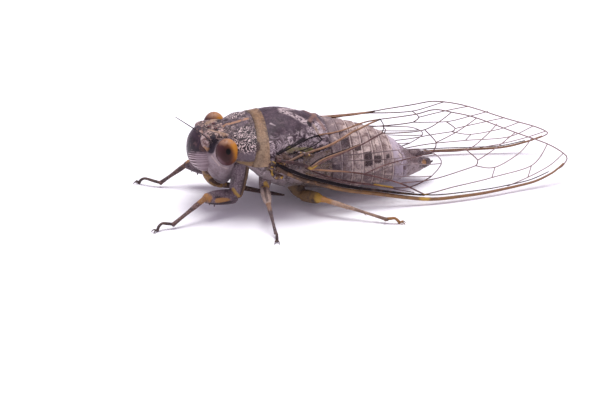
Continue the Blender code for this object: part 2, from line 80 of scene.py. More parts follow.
# Small uneven relief over a whole piece.
def roughen(thing, size, depth):
    clouds = bpy.data.textures.new("relief", "CLOUDS")
    clouds.noise_scale = size * mm
    clouds.noise_depth = 2
    modifier = thing.modifiers.new("relief", "DISPLACE")
    modifier.texture = clouds
    modifier.texture_coords = "LOCAL"
    modifier.strength = depth * mm
    modifier.mid_level = 0.5
    applyModifiers(thing)


# Presses grooves into a piece along lines, on both sides of the insect: each stroke is
# (start, end, width, depth), and a depth below zero raises a ridge instead.
def press(thing, strokes):
    for start, end, width, depth in strokes:
        a, run = Vector(start), Vector(end) - Vector(start)
        normals = [vertex.normal.copy() for vertex in thing.data.vertices]     # read before any move
        for vertex, normal in zip(thing.data.vertices, normals):
            spot = vertex.co / mm
            spot = Vector((abs(spot.x), spot.y + footprintMiddle, spot.z))
            share = min(1, max(0, (spot - a).dot(run) / max(run.length_squared, 1e-6)))
            away = (spot - a - run * share).length / width
            if away < 1:
                vertex.co -= normal * depth * mm * (1 - away * away) ** 2
        thing.data.update()


def finishPiece(thing, name, paint, nodes):
    makeActive(thing)
    thing.name = name
    thing.data.name = name
    bpy.ops.object.mode_set(mode="EDIT")
    bpy.ops.mesh.select_all(action="SELECT")
    bpy.ops.mesh.remove_doubles(threshold=weldDistance)
    bpy.ops.mesh.normals_make_consistent(inside=False)
    bpy.ops.object.mode_set(mode="OBJECT")
    bpy.ops.object.shade_smooth_by_angle(angle=math.radians(creaseAngle))
    thing.data.materials.clear()
    thing.data.materials.append(paint)
    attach(thing, "root")
    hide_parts(*nodes)


def smoothValue(table, at, column):
    at = min(max(at, table[0][0]), table[-1][0])
    last = len(table) - 2
    index = next((i for i in range(last) if at <= table[i + 1][0]), last)

    def slope(i):
        low, high = max(i - 1, 0), min(i + 1, len(table) - 1)
        return (table[high][column] - table[low][column]) / (table[high][0] - table[low][0])

    start, end = table[index], table[index + 1]
    span = end[0] - start[0]
    t = (at - start[0]) / span
    return (
        (2 * t**3 - 3 * t**2 + 1) * start[column]
        + (t**3 - 2 * t**2 + t) * span * slope(index)
        + (3 * t**2 - 2 * t**3) * end[column]
        + (t**3 - t**2) * span * slope(index + 1)
    )


def smoothPath(points, step):
    points = [Vector(p) for p in points]
    path = []
    for i in range(len(points) - 1):
        a, b = points[i], points[i + 1]
        before = points[i - 1] if i else a
        after = points[i + 2] if i + 2 < len(points) else b
        steps = max(1, round((b - a).length / step))
        for k in range(steps):
            t = k / steps
            path.append(
                0.5 * (2 * a + (b - before) * t + (2 * before - 5 * a + 4 * b - after) * t**2
                       + (3 * a - before - 3 * b + after) * t**3)
            )
    path.append(points[-1])
    return path


# A closed body through rings that stand across the insect: a circle, and then each next
# ring extruded from it, moved and resized. A ring is (y, half width, top, bottom).
def ringBody(rings, sides):
    def middle(ring):
        return place((0, ring[0], (ring[2] + ring[3]) / 2))

    def closeEnd():
        bpy.ops.mesh.extrude_region_move(TRANSFORM_OT_translate={"value": (0, 0, 0)})
        bpy.ops.mesh.merge(type="CENTER")

    clearSelection()
    bpy.ops.mesh.primitive_circle_add(vertices=sides, radius=mm, rotation=(math.pi / 2, 0, 0))
    body = bpy.context.object
    bpy.ops.object.transform_apply(location=True, rotation=True, scale=True)
    bpy.ops.object.mode_set(mode="EDIT")
    bpy.ops.mesh.select_all(action="SELECT")
    half = (rings[0][2] - rings[0][3]) / 2
    bpy.ops.transform.resize(value=(rings[0][1], 1, half), center_override=(0, 0, 0))
    bpy.ops.transform.translate(value=middle(rings[0]))
    for before, ring in zip(rings, rings[1:]):
        move = middle(ring) - middle(before)
        bpy.ops.mesh.extrude_region_move(TRANSFORM_OT_translate={"value": move})
        grow = (ring[1] / before[1], 1, (ring[2] - ring[3]) / (before[2] - before[3]))
        bpy.ops.transform.resize(value=grow, center_override=middle(ring))
    closeEnd()
    bpy.ops.mesh.select_all(action="DESELECT")
    bpy.ops.mesh.select_non_manifold()
    closeEnd()
    bpy.ops.object.mode_set(mode="OBJECT")
    return body


# Cuts away what lies beyond a plane, on the side its normal points to, and closes the cut.
def sliceOff(thing, point, normal):
    makeActive(thing)
    bpy.ops.object.mode_set(mode="EDIT")
    bpy.ops.mesh.select_all(action="SELECT")
    bpy.ops.mesh.bisect(
        plane_co=place(point), plane_no=normal, use_fill=True, clear_outer=True, threshold=1e-7,
    )
    bpy.ops.object.mode_set(mode="OBJECT")


def ball(centre, radii, segments, rings):
    clearSelection()
    bpy.ops.mesh.primitive_uv_sphere_add(
        segments=segments, ring_count=rings, radius=mm, location=place(centre), scale=radii,
    )
    bpy.ops.object.transform_apply(location=True, rotation=True, scale=True)
    return bpy.context.object


# Round tubes along strands. A strand is a list of spots in the scene's metres and a list
# of the radius in mm at each.
def tubes(strands, sides):
    curve = bpy.data.curves.new("tubes", "CURVE")
    curve.dimensions = "3D"
    curve.bevel_depth = mm
    curve.bevel_resolution = sides
    curve.use_fill_caps = True
    for spots, radii in strands:
        line = curve.splines.new("POLY")
        line.points.add(len(spots) - 1)
        for point, spot, radius in zip(line.points, spots, radii):
            point.co = (*spot, 1)
            point.radius = radius
    thing = bpy.data.objects.new("tubes", curve)
    bpy.context.scene.collection.objects.link(thing)
    makeActive(thing)
    bpy.ops.object.convert(target="MESH")
    return bpy.context.object


# A strand along a smooth line: its points in mm, and its radius at each.
def strand(points, radii, step):
    table = [(i, *p, r) for i, (p, r) in enumerate(zip(points, radii))]
    length = sum((Vector(a) - Vector(b)).length for a, b in zip(points, points[1:]))
    count = max(2, round(length / step))
    stops = [k / count * (len(points) - 1) for k in range(count + 1)]
    spots = [place([smoothValue(table, at, c) for c in (1, 2, 3)]) for at in stops]
    return spots, [max(0.01, smoothValue(table, at, 4)) for at in stops]


def limb(points, radii, step, sides):
    return tubes([strand(points, radii, step)], sides)


def joinPieces(things):
    makeActive(things[0])
    for thing in things:
        thing.select_set(True)
    bpy.ops.object.join()
    return bpy.context.object


# Colours shared by several finishes.
tone = {
    "black": (0.014, 0.008, 0.011), "umber": (0.04, 0.021, 0.022), "brown": (0.1, 0.052, 0.043),
    "olive": (0.21, 0.13, 0.055), "tan": (0.34, 0.2, 0.12), "orange": (0.4, 0.19, 0.05),
    "yellow": (0.52, 0.31, 0.05), "lilacGrey": (0.27, 0.2, 0.23), "pale": (0.58, 0.47, 0.48),
    "cream": (0.65, 0.5, 0.45),
}


# A shared colour by its name, or a colour of its own.
def fullColour(colour):
    return (*tone.get(colour, colour), 1)


# A finish is one Principled shader whose colour, roughness and relief are layered through
# masks. Every position and scale in it is in mm, like those of the shapes.
class Paint:
    def __init__(self, name, colour, roughness, **sockets):
        self.material = bpy.data.materials.new(name)
        self.material.use_nodes = True
        self.nodes = self.material.node_tree.nodes
        self.shader = self.nodes["Principled BSDF"]
        self.shader.inputs["Specular IOR Level"].default_value = 0.25
        for socket, value in sockets.items():
            self.shader.inputs[socket.replace("_", " ")].default_value = value
        coordinates = self.nodes.new("ShaderNodeTexCoord").outputs["Object"]
        self.spot = self.add(
            "VectorMath", {0: coordinates, 1: (1000, 1000, 1000), 2: (0, footprintMiddle, 0)},
            operation="MULTIPLY_ADD",
        ).outputs[0]
        self.folded = self.vector("ABSOLUTE", self.spot, (0, 0, 0))     # the right side laid on the left
        axes = self.add("SeparateXYZ", {0: self.folded})
        self.side, self.back, self.up = axes.outputs
        self.colour = fullColour(colour)
        self.roughness = roughness
        self.height = None

    def add(self, kind, inputs, **settings):
        node = self.nodes.new("ShaderNode" + kind)
        for setting, value in settings.items():
            setattr(node, setting, value)
        for key, value in inputs.items():
            if isinstance(value, bpy.types.NodeSocket):
                self.material.node_tree.links.new(value, node.inputs[key])
            else:
                node.inputs[key].default_value = value
        return node

    def vector(self, operation, first, second):
        return self.add("VectorMath", {0: first, 1: second}, operation=operation).outputs[0]

    def length(self, vector):
        return self.add("VectorMath", {0: vector}, operation="LENGTH").outputs["Value"]

    def math(self, operation, first, second=0):
        return self.add("Math", {0: first, 1: second}, operation=operation).outputs[0]

    def times(self, *masks):
        total = masks[0]
        for mask in masks[1:]:
            total = self.math("MULTIPLY", total, mask)
        return total

    def plus(self, *values):
        total = values[0]
        for value in values[1:]:
            total = self.math("ADD", total, value)
        return total

    def minus(self, first, second):
        return self.math("SUBTRACT", first, second)

    # zero at one value, one at the other, smooth between
    def fade(self, value, zeroAt, oneAt):
        inputs = {"Value": value, "From Min": zeroAt, "From Max": oneAt}
        return self.add("MapRange", inputs, interpolation_type="SMOOTHSTEP").outputs["Result"]

    def band(self, value, low, high, soft=0.1):
        above, below = self.fade(value, low - soft, low + soft), self.fade(value, high + soft, high - soft)
        return self.times(above, below)

    def noise(self, scale, detail=4, roughness=0.6, distortion=0, stretch=(1, 1, 1)):
        inputs = {
            "Vector": self.vector("MULTIPLY", self.spot, stretch), "Scale": scale, "Detail": detail,
            "Roughness": roughness, "Distortion": distortion,
        }
        return self.add("TexNoise", inputs).outputs["Fac"]

    def cells(self, scale, feature="F1"):
        inputs = {"Vector": self.spot, "Scale": scale}
        return self.add("TexVoronoi", inputs, feature=feature).outputs["Distance"]

    # soft patches where a noise passes from one value to another
    def patches(self, scale, zeroAt, oneAt, *more):
        return self.fade(self.noise(scale, *more), zeroAt, oneAt)

    # thin wandering lines where a noise crosses its middle value
    def scribble(self, scale, width, distortion, stretch=(1, 1, 1)):
        value = self.noise(scale, 1, 0.4, distortion, stretch)
        away = self.math("ABSOLUTE", self.minus(value, 0.5))
        return self.fade(away, width * 1.5, width * 0.5)

    # close winding lines like writing: mm from one to the next, line width as a share, winding
    def maze(self, period, width, winding, size):
        inputs = {
            "Vector": self.spot, "Scale": 2 * math.pi / 20 / period, "Distortion": winding, "Detail": 1,
            "Detail Scale": size, "Detail Roughness": 0.5,
        }
        wave = self.add("TexWave", inputs, bands_direction="DIAGONAL").outputs["Fac"]
        return self.fade(wave, 1 - width * 1.4, 1 - width * 0.6)

    # one near the line between two points of the left side, and the same on the right
    def stroke(self, start, end, radius, soft=0.35, ragged=0):
        a, run = Vector(start), Vector(end) - Vector(start)
        fromStart = self.vector("SUBTRACT", self.folded, a)
        dot = self.add("VectorMath", {0: fromStart, 1: run}, operation="DOT_PRODUCT").outputs["Value"]
        inputs = {0: dot, 1: max(run.length_squared, 1e-4)}
        share = self.add("Math", inputs, operation="DIVIDE", use_clamp=True).outputs[0]
        reach = self.add("VectorMath", {0: run, "Scale": share}, operation="SCALE").outputs[0]
        away = self.length(self.vector("SUBTRACT", fromStart, reach))
        return self.rim(self.math("DIVIDE", away, radius), soft, ragged)

    # one inside an ellipsoid on the left side, and the same on the right
    def blob(self, centre, radii, soft=0.3, ragged=0):
        away = self.vector("DIVIDE", self.vector("SUBTRACT", self.folded, centre), radii)
        return self.rim(self.length(away), soft, ragged)

    def rim(self, away, soft, ragged):
        if ragged:
            away = self.plus(away, self.times(self.minus(self.noise(2.2), 0.5), ragged * 4))
        return self.fade(away, 1 + soft, 1 - soft)

    # lays a colour over the rest where all the masks are one
    def layer(self, colour, strength, *masks):
        inputs = {0: self.times(*masks, strength), 6: self.colour, 7: fullColour(colour)}
        self.colour = self.add("Mix", inputs, data_type="RGBA").outputs[2]

    def polish(self, roughness, mask):
        mixed = self.add("Mix", {0: mask, 2: self.roughness, 3: roughness}, data_type="FLOAT")
        self.roughness = mixed.outputs[0]

    def relief(self, value, depth):
        raised = self.times(value, depth)
        self.height = raised if self.height is None else self.plus(self.height, raised)

    # dark pits and light specks a few tenths of a mm across
    def grain(self, dark, light, darkShare=0.6, lightShare=0.45, scale=3.2):
        value = self.noise(scale, 3, 0.65, 0.5)
        self.layer(dark, darkShare, self.fade(value, 0.5, 0.37))
        self.layer(light, lightShare, self.fade(value, 0.54, 0.67))
        self.relief(value, 0.06)

    # short pale hairs lying on the skin
    def fuzz(self, colour, amount, depth):
        hairs = self.fade(self.noise(9, 2, 0.7, 0.6, (1, 0.5, 1.6)), 0.5, 0.72)
        self.layer(colour, amount, hairs)
        self.relief(hairs, depth)

    def done(self):
        links = self.material.node_tree.links
        if isinstance(self.colour, tuple):
            self.shader.inputs["Base Color"].default_value = self.colour
        else:
            links.new(self.colour, self.shader.inputs["Base Color"])
        if isinstance(self.roughness, float):
            self.shader.inputs["Roughness"].default_value = self.roughness
        else:
            links.new(self.roughness, self.shader.inputs["Roughness"])
        if self.height is not None:
            bump = self.add("Bump", {"Height": self.height, "Strength": 1, "Distance": mm})
            links.new(bump.outputs[0], self.shader.inputs["Normal"])
        return self.material


print("frame loaded, helpers ready")

studio = {
    "azimuth": 77, "elevation": 26, "distance": 300, "frameWidth": 82, "lookAt": (3.753, 21.05, 0),
    "sensorWidth": 36,
    "skyColour": (0.91, 0.81, 1), "sky": 0.62,
    "lamp": 1.95, "lampSize": 0.3, "lampAt": (-85, 50, 430), "lampTowards": (0, 25, 5),
    "floor": (0.93, 0.925, 0.94), "floorSize": 6,
}


def setStudio():
    turn, lift = math.radians(studio["azimuth"]), math.radians(studio["elevation"])
    back = Vector((math.sin(turn) * math.cos(lift), -math.cos(turn) * math.cos(lift), math.sin(lift)))
    lens = bpy.data.cameras.new("camera")
    lens.sensor_width = studio["sensorWidth"]
    lens.lens = studio["sensorWidth"] * studio["distance"] / studio["frameWidth"]
    lens.clip_start, lens.clip_end = 0.01, 20
    camera = bpy.data.objects.new("camera", lens)
    bpy.context.scene.collection.objects.link(camera)
    camera.location = place(studio["lookAt"]) + back * studio["distance"] * mm
    camera.rotation_euler = back.to_track_quat("Z", "Y").to_euler()
    bpy.context.scene.camera = camera

    clearSelection()
    bpy.ops.mesh.primitive_plane_add(size=studio["floorSize"], location=(0, 0, 0))
    floor = bpy.context.object
    floor.name = "floor"
    floor.data.materials.append(Paint("paleFloor", studio["floor"], 0.9).done())

    world = bpy.data.worlds.new("sky")
    world.use_nodes = True
    world.node_tree.nodes["Background"].inputs["Color"].default_value = (*studio["skyColour"], 1)
    world.node_tree.nodes["Background"].inputs["Strength"].default_value = studio["sky"]
    bpy.context.scene.world = world

    glow = bpy.data.lights.new("overhead", "AREA")
    glow.shape = "DISK"
    glow.size = studio["lampSize"]
    glow.energy = studio["lamp"]
    lamp = bpy.data.objects.new("overhead", glow)
    bpy.context.scene.collection.objects.link(lamp)
    lamp.location = place(studio["lampAt"])
    aim = lamp.location - place(studio["lampTowards"])
    lamp.rotation_euler = aim.to_track_quat("Z", "Y").to_euler()
    bpy.context.scene.view_settings.view_transform = "Standard"


setStudio()
print("studio set")

# The torso is one core with three overlapping plates over it: pronotum, collar, mesonotum.
torso = {
    # y, half width, top, bottom
    "rings": (
        (9.5, 4.2, 10.5, 7.2), (11, 4.9, 10.9, 6.8), (13, 6, 11.3, 5.7), (15.3, 6.5, 11.8, 3.4),
        (17, 6.1, 12.25, 2.3), (19, 5.75, 12.2, 1.5), (21.5, 5.5, 11.45, 1.2), (24.3, 5.35, 10.45, 0.9),
        (27.3, 5, 9.65, 0.8), (30, 4.7, 8.7, 0.8), (32.3, 4.25, 7.65, 0.85), (34.4, 3.45, 6.1, 1.05),
        (36.2, 2.3, 4.5, 1.3), (38, 1.2, 3.6, 1.8), (39.4, 0.5, 3.1, 2.3),
    ),
    # two points of each line that the plates are cut along, and how far a shell's ends close in
    "collarFront": ((0, 14.65, 12), (0, 13.45, 8)), "collarRear": ((0, 15.9, 12.2), (0, 15.55, 8)),
    "seam": ((0, 11, 7.1), (0, 24.1, 8.2)), "shrinkEnds": 0.35, "sides": 80,
    "pronotumRelief": (
        ((4.5, 13, 10.6), (4.5, 13, 10.6), 1.7, -0.18),     # round swelling at each side
        ((1.3, 10.8, 11), (2.4, 14.6, 11.5), 0.55, 0.16),
        ((3, 11, 10.7), (4.1, 11.4, 9.9), 0.55, 0.14),
        ((6, 14.3, 8.4), (5, 11.8, 7.7), 0.5, -0.2),        # rim along its lower edge
    ),
    "collarRelief": (),
    "mesonotumRelief": (
        ((0, 23, 11.1), (1.7, 22, 11.1), 0.6, -0.16),     # arms of the raised cross
        ((0, 23, 11.1), (2.5, 23.7, 10.2), 0.6, -0.16),
        ((2.1, 22.6, 10.8), (3.4, 22.9, 9.9), 0.7, 0.22),
        ((4.3, 17.6, 11), (4.7, 21.5, 9.9), 0.9, 0.1),
    ),
    "thoraxRelief": (
        ((6.6, 15.9, 7.6), (4.4, 14.6, 3.8), 0.6, 0.3),
        ((6.3, 17.9, 7.8), (4.6, 17.2, 3.2), 0.6, 0.28),
        ((5.9, 21.2, 7.6), (4.3, 20.6, 2.6), 0.6, 0.22),
        ((5.9, 16.8, 5.6), (5.7, 20.5, 5.2), 0.5, 0.18),
        ((5.6, 15, 6.2), (5.2, 14.4, 5.2), 0.9, -0.18),
    ),
    # node, slot, (front, rear, rings, growth), (size and depth of its roughness), cuts
    "plates": {
        "thorax": ("thorax", "grey_shell", (10.2, 24.6, 34, -0.08), (0.7, 0.16), ()),
        "pronotum": (
            "pronotum", "dark_shell", (10.4, 16.6, 20, 0.1), (0.5, 0.1), (("collarFront", 1), ("seam", -1)),
        ),
        "collar": (
            "pronotal_collar", "olive_shell", (12.4, 17.6, 18, 0.22), (0.9, 0.08),
            (("collarFront", -1), ("collarRear", 1), ("seam", -1)),
        ),
        "mesonotum": ("mesonotum", "dark_shell", (14.6, 24.5, 34, 0.1), (0.9, 0.06), (("seam", -1),)),
    },
}


def torsoRing(y, grow):
    half, top, bottom = (smoothValue(torso["rings"], y, c) for c in (1, 2, 3))
    return (y, half + grow, top + grow, bottom - grow)


def torsoShell(start, end, count, grow):
    rings = []
    for k in range(count + 1):
        y = start + (end - start) * k / count
        rings.append(torsoRing(y, grow - (torso["shrinkEnds"] if k in (0, count) else 0)))
    shell = ringBody(rings, torso["sides"])
    subdivide(shell)
    return shell


# The rearward normal of the plane through a line and along x; a flip of -1 turns it round.
def planeNormal(line, flip):
    run = Vector(line[1]) - Vector(line[0])
    return Vector((1, 0, 0)).cross(run).normalized() * flip


def makeTorso(paints):
    for name, (node, slot, run, roughness, cuts) in torso["plates"].items():
        shell = torsoShell(*run)
        press(shell, torso[name + "Relief"])
        roughen(shell, *roughness)
        for line, flip in cuts:
            sliceOff(shell, torso[line][0], planeNormal(torso[line], flip))
        finishPiece(shell, name + "Skin", paints[name], [node])


abdomen = {
    "start": 24.3, "end": 34.6, "segments": 7, "step": 0.2, "tailEnd": 39.4, "tailRings": 14,
    "sides": 120, "roughness": (0.8, 0.09), "tailSides": 64, "tailRoughness": (0.5, 0.15),
    "profile": ((0.02, -0.9), (0.12, -0.4), (0.35, 0.1), (0.65, 0.35), (0.9, 0.5), (0.99, 0.25)),
    "upperSpine": ((0, 36.4, 4.1), (0, 37.6, 4.15), (0, 38.9, 3.95), (0, 39.7, 3.85)),
    "upperRadii": (0.5, 0.42, 0.22, 0.05),
    "sheath": ((0, 34.2, 1.5), (0, 36.4, 1.75), (0, 38.4, 2.3), (0, 39.7, 2.75)),
    "sheathRadii": (0.5, 0.5, 0.34, 0.1),
    "tailRelief": (
        ((0, 35.6, 4.4), (0, 38.6, 3.3), 0.5, 0.15), ((1.6, 36.6, 3.6), (0.7, 38.6, 3), 0.4, 0.2),
    ),
    # dark marks along each side: front and rear, low and high
    "squares": (
        (28.9, 30, 5.2, 7), (30.3, 31.25, 5.4, 6.3), (26, 27, 8, 8.9), (27.6, 28.6, 7.4, 7.95),
        (24.3, 25.3, 5.2, 6.1), (32, 32.55, 5.6, 6.1),
    ),
}


def makeAbdomen(paints):
    rings = []
    length = (abdomen["end"] - abdomen["start"]) / abdomen["segments"]
    for segment in range(abdomen["segments"]):
        start = abdomen["start"] + segment * length
        for share, grow in abdomen["profile"]:
            rings.append(torsoRing(start + share * length, grow * abdomen["step"]))
    body = ringBody(rings, abdomen["sides"])
    roughen(body, *abdomen["roughness"])
    finishPiece(body, "abdomenSkin", paints["abdomen"], ["abdomen"])
    rings = []
    for k in range(abdomen["tailRings"] + 1):
        y = abdomen["end"] - 0.1 + (abdomen["tailEnd"] - abdomen["end"]) * k / abdomen["tailRings"]
        rings.append(torsoRing(y, 0 if k else -0.3))
    tail = ringBody(rings, abdomen["tailSides"])
    subdivide(tail)
    press(tail, abdomen["tailRelief"])
    roughen(tail, *abdomen["tailRoughness"])
    spine = limb(abdomen["upperSpine"], abdomen["upperRadii"], 0.15, 4)
    sheath = limb(abdomen["sheath"], abdomen["sheathRadii"], 0.15, 4)
    finishPiece(joinPieces([tail, spine, sheath]), "tailSkin", paints["tail"], ["abdomen_tip"])


head = {
    # y, half width, top, bottom
    "rings": (
        (7.5, 2.3, 10.5, 6.8), (7.75, 2.75, 10.8, 5.9), (8.2, 3.3, 10.95, 4.9), (8.8, 3.75, 11, 3.7),
        (9.5, 4.1, 10.95, 2.8), (10.4, 4.25, 10.9, 2.5), (11.2, 4.2, 10.75, 3), (12, 3.9, 10.5, 4.4),
    ),
    "sides": 64, "roughness": (0.45, 0.14), "snoutRoughness": (0.6, 0.1),
    "waist": 8.1, "pinch": 0.35, "foot": 3,     # the cheeks draw in from the waist down
    "relief": (
        ((2.1, 8.4, 10.4), (2.2, 10.6, 10.4), 1.6, -0.6),     # the crown is broad and flat
        ((2.3, 7.8, 10.1), (2.5, 7.9, 9.6), 1, -0.42),        # plates over the feelers
        ((3.1, 8.9, 9.8), (3, 8.6, 8.9), 0.8, 0.45),          # hollow before the eye
        ((0, 8.2, 10.9), (0, 10.6, 10.9), 0.4, 0.2),
        ((1.6, 9.2, 10.8), (1.7, 10.8, 10.8), 0.7, 0.16),
        ((2.3, 8.5, 6.2), (1.9, 9, 4.9), 0.9, -0.3),          # pad beside the mouth
        ((3.2, 8.7, 7.9), (2.2, 9.6, 4.6), 0.35, 0.16),
    ),
    "eye": ((4.5, 10.25, 9.1), (1.4, 1.5, 1.85)),
    "eyeRelief": (
        ((3.4, 10.25, 9.1), (3.4, 10.25, 9.1), 1.6, 0.3), ((5.6, 9.3, 9.9), (5.6, 9.3, 9.9), 1.2, 0.07),
    ),
    "ocelli": ((0, 8.75, 10.9), (-0.8, 9.5, 10.9), (0.8, 9.5, 10.9)), "ocellus": (0.26, 0.26, 0.22),
    "face": ((0, 8.9, 8.3), (3.15, 3.2, 3.2)),
    "faceRelief": (
        ((1.2, 6.9, 6.1), (0, 6.9, 5.9), 2.6, -0.4), ((2, 7.9, 6.4), (2.3, 7.9, 7.4), 1.8, -0.35),
    ),
    "tuck": (7.2, 8.4), "tuckDown": 0.3, "tuckIn": 0.1,     # how its rear goes in under the brow
    "stripePeriod": 0.3, "stripeRise": 0.3, "stripesBend": (5.4, 7.6), "stripesBelow": 7.5,
    "stripesFade": 1.2, "ridgeDepth": 0.02, "smoothMiddle": (0.1, 0.7),
    "snout": ((0, 8.3, 5.4), (0, 8.7, 4.4), (0, 9.4, 3.4), (0, 10.2, 2.7), (0.05, 10.9, 2.35)),
    "snoutRadii": (0.7, 1.05, 1.1, 0.8, 0.45),
    "beak": ((0.05, 10.5, 2.3), (0.3, 12.6, 1.85), (0.7, 15.1, 1.2), (1.1, 17, 0.8), (1.45, 18.6, 0.5)),
    "beakRadii": (0.42, 0.36, 0.3, 0.25, 0.1),
}


def smoothStep(value, low, high):
    t = min(1, max(0, (value - low) / (high - low)))
    return t * t * (3 - 2 * t)


def makeFace(paint):
    centre, radii = head["face"]
    face = ball(centre, radii, 160, 240)
    press(face, head["faceRelief"])
    normals = [vertex.normal.copy() for vertex in face.data.vertices]
    for vertex, normal in zip(face.data.vertices, normals):
        spot = vertex.co / mm
        tuck = smoothStep(spot.y + footprintMiddle, *head["tuck"])
        if spot.z > centre[2]:
            spot.z = centre[2] + (spot.z - centre[2]) * (1 - head["tuckDown"] * tuck)
        spot.x *= 1 - head["tuckIn"] * tuck
        level = spot.z - head["stripeRise"] * abs(spot.x) * smoothStep(spot.z, *head["stripesBend"])
        ridged = smoothStep(level, head["stripesBelow"] + head["stripesFade"], head["stripesBelow"])
        ridged *= smoothStep(abs(spot.x), *head["smoothMiddle"])
        wave = math.cos(2 * math.pi * level / head["stripePeriod"])
        vertex.co = (spot + normal * head["ridgeDepth"] * wave * ridged) * mm
    finishPiece(face, "faceSkin", paint, ["postclypeus"])


def makeHead(paints):
    skull = ringBody(head["rings"], head["sides"])
    subdivide(skull, 2)
    waist = head["waist"]
    for vertex in skull.data.vertices:
        height = vertex.co.z / mm
        if height < waist:
            vertex.co.x *= 1 - head["pinch"] * (waist - height) / (waist - head["foot"])
    press(skull, head["relief"])
    roughen(skull, *head["roughness"])
    finishPiece(skull, "headSkin", paints["head"], ["head"])
    makeFace(paints["face"])

    snout = limb(head["snout"], head["snoutRadii"], 0.12, 7)
    roughen(snout, *head["snoutRoughness"])
    finishPiece(snout, "snoutSkin", paints["snout"], ["anteclypeus"])
    beak = limb(head["beak"], head["beakRadii"], 0.3, 3)
    finishPiece(beak, "beak", paints["beak"], ["rostrum"])

    centre, radii = head["eye"]
    for name, side in (("Left", 1), ("Right", -1)):
        eye = ball(mirrored(centre, side), radii, 64, 40)
        press(eye, head["eyeRelief"])
        finishPiece(eye, "eye" + name, paints["eye"], ["eye_" + name.lower()])
    for k, (x, y, z) in enumerate(head["ocelli"]):
        bead = ball((x, y, z), head["ocellus"], 20, 12)
        foot = (abs(x), y, z - head["ocellus"][2])
        press(bead, ((foot, foot, 0.2, 0.08),))
        finishPiece(bead, f"ocellus{k}", paints["ocellus"], ["head"])


feelers = {
    "left": ((2.9, 8.6, 9.9), (2.95, 8, 10.6), (2.85, 7.2, 11.35), (2.7, 5.6, 12.6), (2.6, 3.85, 13.95)),
    "right": ((-3.2, 8.5, 9.4), (-3.8, 8, 8.9), (-4.3, 7.8, 8.6), (-5.1, 7.8, 7.6), (-5.7, 8.2, 6.4)),
    "radii": (0.13, 0.1, 0.08, 0.07, 0.045),
}


def makeFeelers(paints):
    for side in ("left", "right"):
        feeler = limb(feelers[side], feelers["radii"], 0.2, 2)
        finishPiece(feeler, "feeler" + side.title(), paints["feeler"], ["antenna_" + side])


legs = {
    "front_left": {
        "joints": ((3.6, 12.5, 7.2), (4.15, 11.35, 2.4), (5.5, 7.05, 3.2), (7, 2.4, 0.55)),
        "radii": ((1.05, 0.95), (1, 0.72), (0.36, 0.25)),
        "foot": ((6.95, 1.6, 0.8), (7, 1, 0.9), (7.3, 0.5, 0.65), (7.45, 0.25, 0.1)),
    },
    "front_right": {
        "joints": ((-3.6, 12.5, 7.2), (-4.1, 11.15, 2.4), (-5.5, 6.6, 3.2), (-5.9, 2.9, 0.55)),
        "radii": ((1.05, 0.95), (1, 0.72), (0.36, 0.25)),
        "foot": ((-6.3, 2.1, 0.8), (-7, 1.05, 0.95), (-7.35, 0.5, 0.6), (-7.5, 0.25, 0.1)),
    },
    "middle": {
        "joints": ((3.2, 15.7, 4.9), (4.6, 15.2, 3.3), (9.4, 14.7, 3.4), (12.5, 15, 0.55)),
        "radii": ((0.85, 0.72), (0.62, 0.4), (0.3, 0.2)),
        "foot": ((13, 15, 0.7), (13.4, 14.95, 0.75), (13.7, 14.9, 0.45), (13.85, 14.85, 0.1)),
    },
    "hind": {
        "joints": ((2.6, 19.4, 2.9), (4.3, 20.4, 1.7), (7.6, 22.4, 2.4), (11.75, 30.1, 0.55)),
        "radii": ((0.95, 0.8), (0.8, 0.48), (0.34, 0.2)),
        "foot": ((11.9, 30.6, 0.7), (12.05, 31.1, 0.75), (12.2, 31.5, 0.45), (12.3, 31.75, 0.1)),
    },
    # a part's outline: share along it, and its radius as parts of the thick and of the thin radius
    "hipShape": (
        (-0.06, 0.35, 0), (0.02, 0.85, 0), (0.15, 1, 0), (0.5, 0.55, 0.55), (0.85, 0, 1.02), (0.98, 0, 0.85),
        (1.06, 0, 0.3),
    ),
    "thighShape": (
        (-0.08, 0.3, 0), (0.02, 0.85, 0), (0.16, 1.02, 0), (0.42, 1.05, 0), (0.7, 0.95, 0), (0.92, 0, 1),
        (1, 0, 0.85), (1.05, 0, 0.4),
    ),
    "shinShape": (
        (-0.04, 0.6, 0), (0, 1.25, 0), (0.07, 1, 0), (0.3, 0.95, 0), (0.6, 0, 1), (0.9, 0, 1.1),
        (1, 0, 1.25), (1.03, 0, 0.6),
    ),
    "thighSpines": ((0.5, 0.55), (0.68, 0.8), (0.84, 0.45)),     # share along the thigh, length
    "shinSpines": (0.35, 0.5, 0.65, 0.8, 0.95),
    "thighSpineRadii": (0.24, 0.15, 0.03), "shinSpineRadii": (0.09, 0.06, 0.02),
    "toeRadii": (0.2, 0.21, 0.18, 0.2, 0.2), "clawLength": 0.75, "clawSpread": 0.35,
    "clawRadii": (0.12, 0.09, 0.03), "hipRoughness": (0.5, 0.1),
}


def between(a, b, share):
    return tuple(Vector(a).lerp(Vector(b), share))


def shaped(shape, start, end, radii, step):
    points = [between(start, end, share) for share, thick, thin in shape]
    return strand(points, [radii[0] * thick + radii[1] * thin for share, thick, thin in shape], step)


def makeThigh(start, end, radii, spined):
    parts = [shaped(legs["thighShape"], start, end, radii, 0.12)]
    thin = radii[1]
    run = Vector(end) - Vector(start)
    below = Vector((0, 0, -1))
    for share, length in legs["thighSpines"] if spined else ():
        root = Vector(start) + run * share + below * thin * 0.8
        tip = root + below * length + run.normalized() * 0.15
        parts.append(strand((root, root.lerp(tip, 0.5), tip), legs["thighSpineRadii"], 0.08))
    return tubes(parts, 5)


